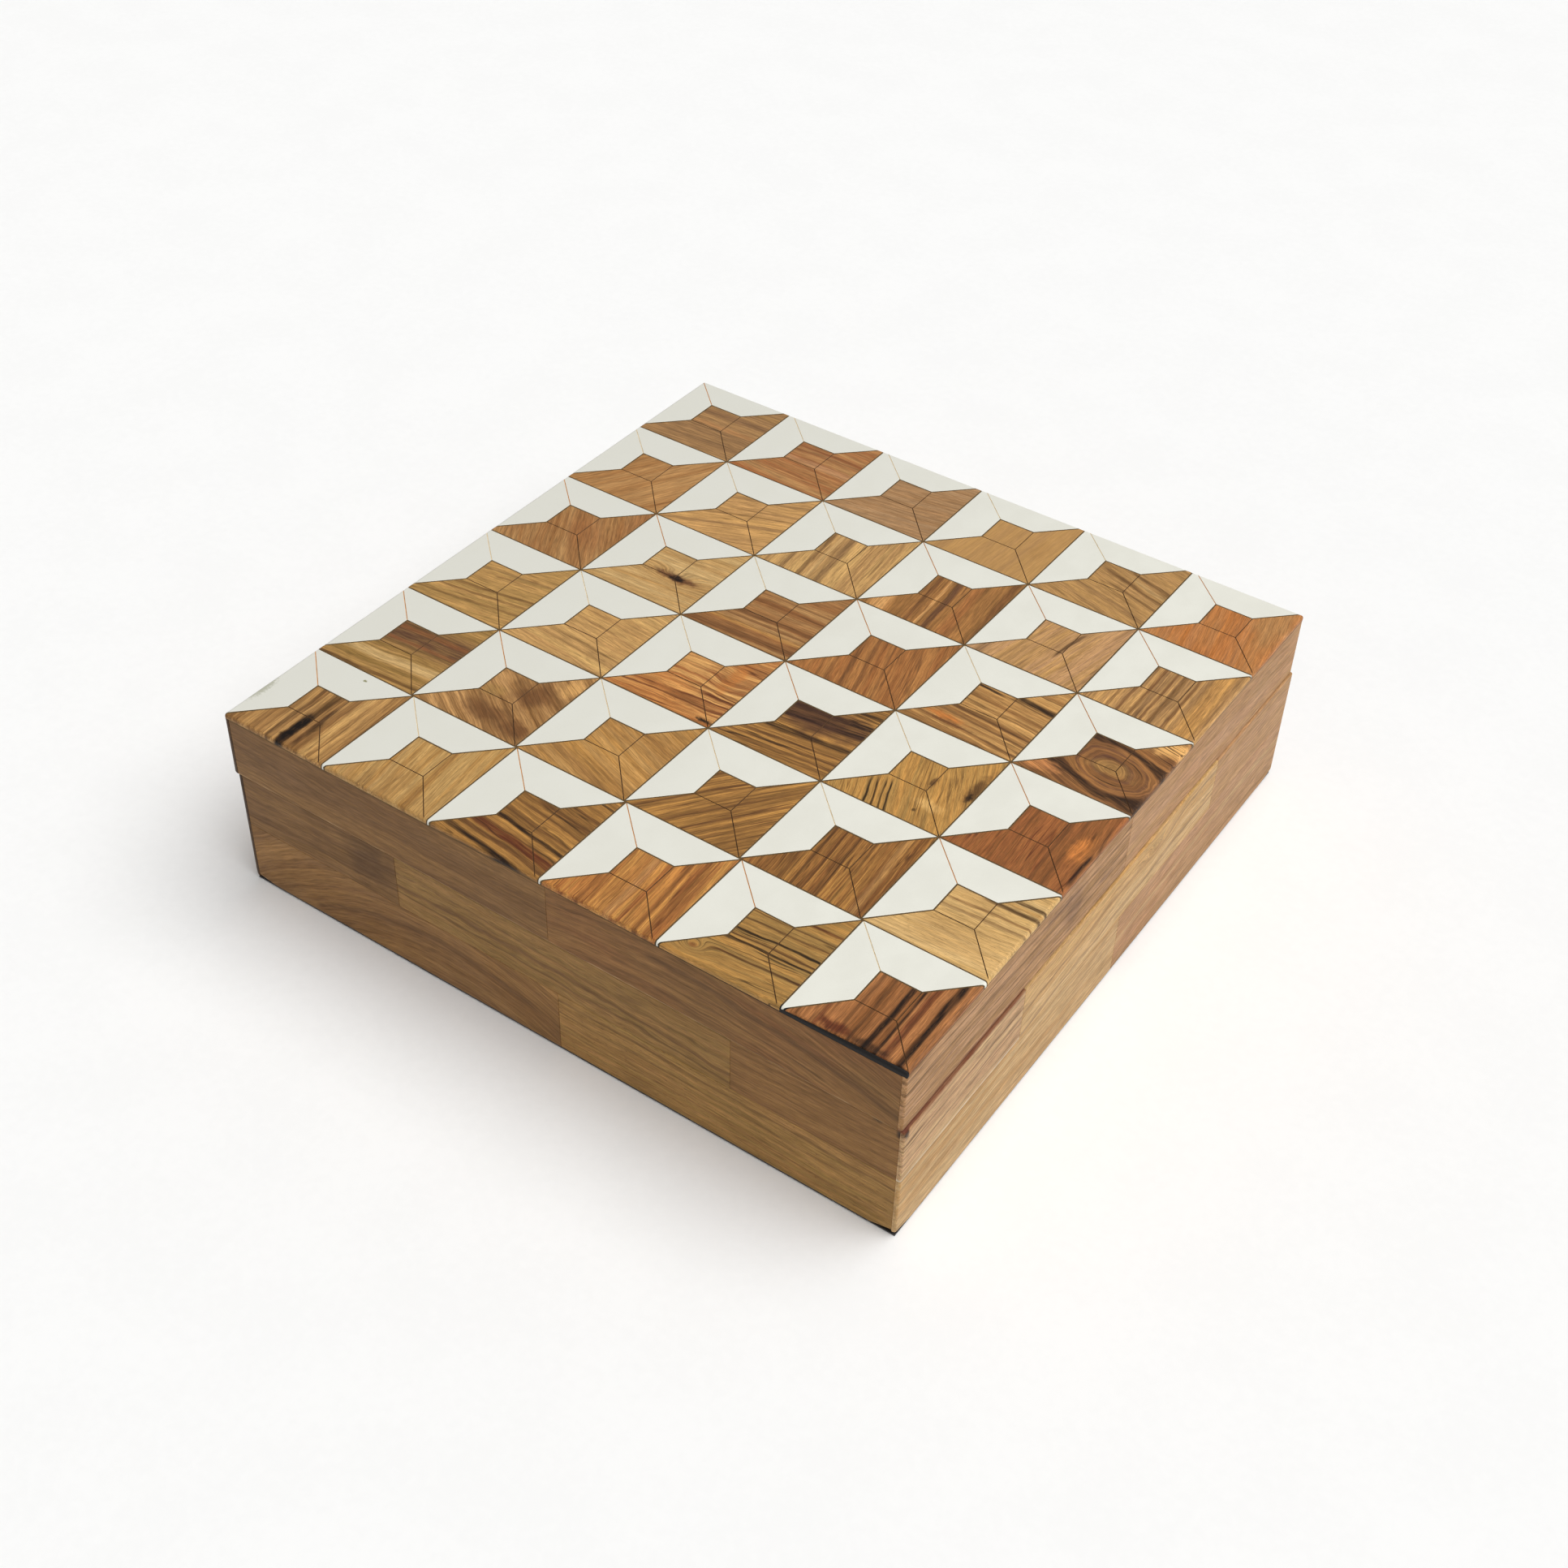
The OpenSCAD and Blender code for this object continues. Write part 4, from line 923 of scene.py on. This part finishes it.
lining_felt = felt_material("lining_felt", "#241f1d", "#3b3430")
underside_felt = felt_material("underside_felt", "#171515", "#2a2727")
lining, lining_size = felt_sheet("lining", "floor_lining", lining_felt, 0.08 * MM)
put(lining, "base", "lining_felt", "floor_lining")
foot, foot_size = felt_sheet("underside_sheet", "underside_felt", underside_felt, 0.06 * MM)
put(foot, "base", "underside_felt", "underside_felt")

# ---- CAD nodes that stay

BOARD_WOOD = spec("umber", "plum", band=2.6, wave=1.4, veins=0.3, vein="black", fine=0.2, pores=0.5,
                  cloud="umber", gloss=0.5)
BOARD_ARRIS, SCREW_ARRIS, HINGE_ARRIS = 0.25 * MM, 0.04 * MM, 0.08 * MM


def board_material(name, seed):
    """Stained board, with its grain along the piece."""
    low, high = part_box(name)
    axes = (0, 1, 2) if "panel" in name else (0, 2, 1) if high.x - low.x > high.y - low.y else (1, 2, 0)
    return wood_material(f"board_{name}", BOARD_WOOD, (low + high) / 2, axes, seed)


brass = brass_material("hinge_brass", "#d8b060", "#8a6a38")
screw_brass = brass_material("screw_brass", "#dcb86c", "#7c6034")
for seed, (name, node) in enumerate(sorted(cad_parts.items())):
    if "wall" in name or "panel" in name:
        material, width = board_material(name, 200 + seed), BOARD_ARRIS
    elif "screws" in name:
        material, width = screw_brass, SCREW_ARRIS
    elif "hinge" in name:
        material, width = brass, HINGE_ARRIS
    else:
        continue
    node.data.materials.clear()
    node.data.materials.append(material)
    node.data.polygons.foreach_set("material_index", [0] * len(node.data.polygons))
    modifier = node.modifiers.new("arris", "BEVEL")
    modifier.width, modifier.segments, modifier.limit_method = width, 2, "ANGLE"
    modifier.angle_limit = math.radians(50)

# ---- floor, light, camera

FLOOR_HALF = 30.0
corners = [(x * FLOOR_HALF, y * FLOOR_HALF, 0) for x, y in ((-1, -1), (1, -1), (1, 1), (-1, 1))]
floor_material = speckled_material("floor", "#f6f6f5", "#f8f8f7", 3.0, 0.7, 0.01, Specular_IOR_Level=0.2)
built("floor", corners, [(0, 1, 2, 3)], [floor_material])

# The world is white at the horizon and dimmer overhead, where the lamp gives the light
world = bpy.data.worlds.new("studio")
bpy.context.scene.world = world
world.use_nodes = True
sky = world.node_tree
height = sky.nodes.new("ShaderNodeSeparateXYZ")
ramp = sky.nodes.new("ShaderNodeMapRange")
for socket, value in zip(list(ramp.inputs)[1:5], (0.08, 0.35, 1.0, 0.14)):
    socket.default_value = value
sky.links.new(sky.nodes.new("ShaderNodeTexCoord").outputs["Generated"], height.inputs[0])
sky.links.new(height.outputs["Z"], ramp.inputs[0])
sky.links.new(ramp.outputs[0], sky.nodes["Background"].inputs["Strength"])
sky.nodes["Background"].inputs["Color"].default_value = (1.0, 1.0, 1.0, 1.0)

lamp = bpy.data.lights.new("key", "SUN")
lamp.energy, lamp.angle = 2.95, math.radians(60)
key = bpy.data.objects.new("key", lamp)
key.rotation_mode = "QUATERNION"
key.rotation_quaternion = Vector((-0.37, -0.1, -0.92)).to_track_quat("-Z", "Y")
bpy.context.scene.collection.objects.link(key)

CAMERA_AIM = Vector((0.0086, 0.0, 0.0231))
CAMERA_DISTANCE = 0.579
AZIMUTH, ELEVATION, ROLL = (math.radians(a) for a in (32.48, 40.82, 2.58))
back = Vector((math.sin(AZIMUTH) * math.cos(ELEVATION), -math.cos(AZIMUTH) * math.cos(ELEVATION),
               math.sin(ELEVATION)))
lens = bpy.data.cameras.new("camera")
lens.sensor_width, lens.lens = 36.0, 49.12
lens.shift_x, lens.shift_y = -0.0179, -0.0075
lens.clip_start, lens.clip_end = 0.02, 20.0
camera = bpy.data.objects.new("camera", lens)
camera.location = CAMERA_AIM + back * CAMERA_DISTANCE
camera.rotation_mode = "QUATERNION"
camera.rotation_quaternion = (-back).to_track_quat("-Z", "Y") @ Quaternion((0, 0, 1), ROLL)
bpy.context.scene.collection.objects.link(camera)
bpy.context.scene.camera = camera
bpy.context.scene.view_settings.view_transform = "Standard"
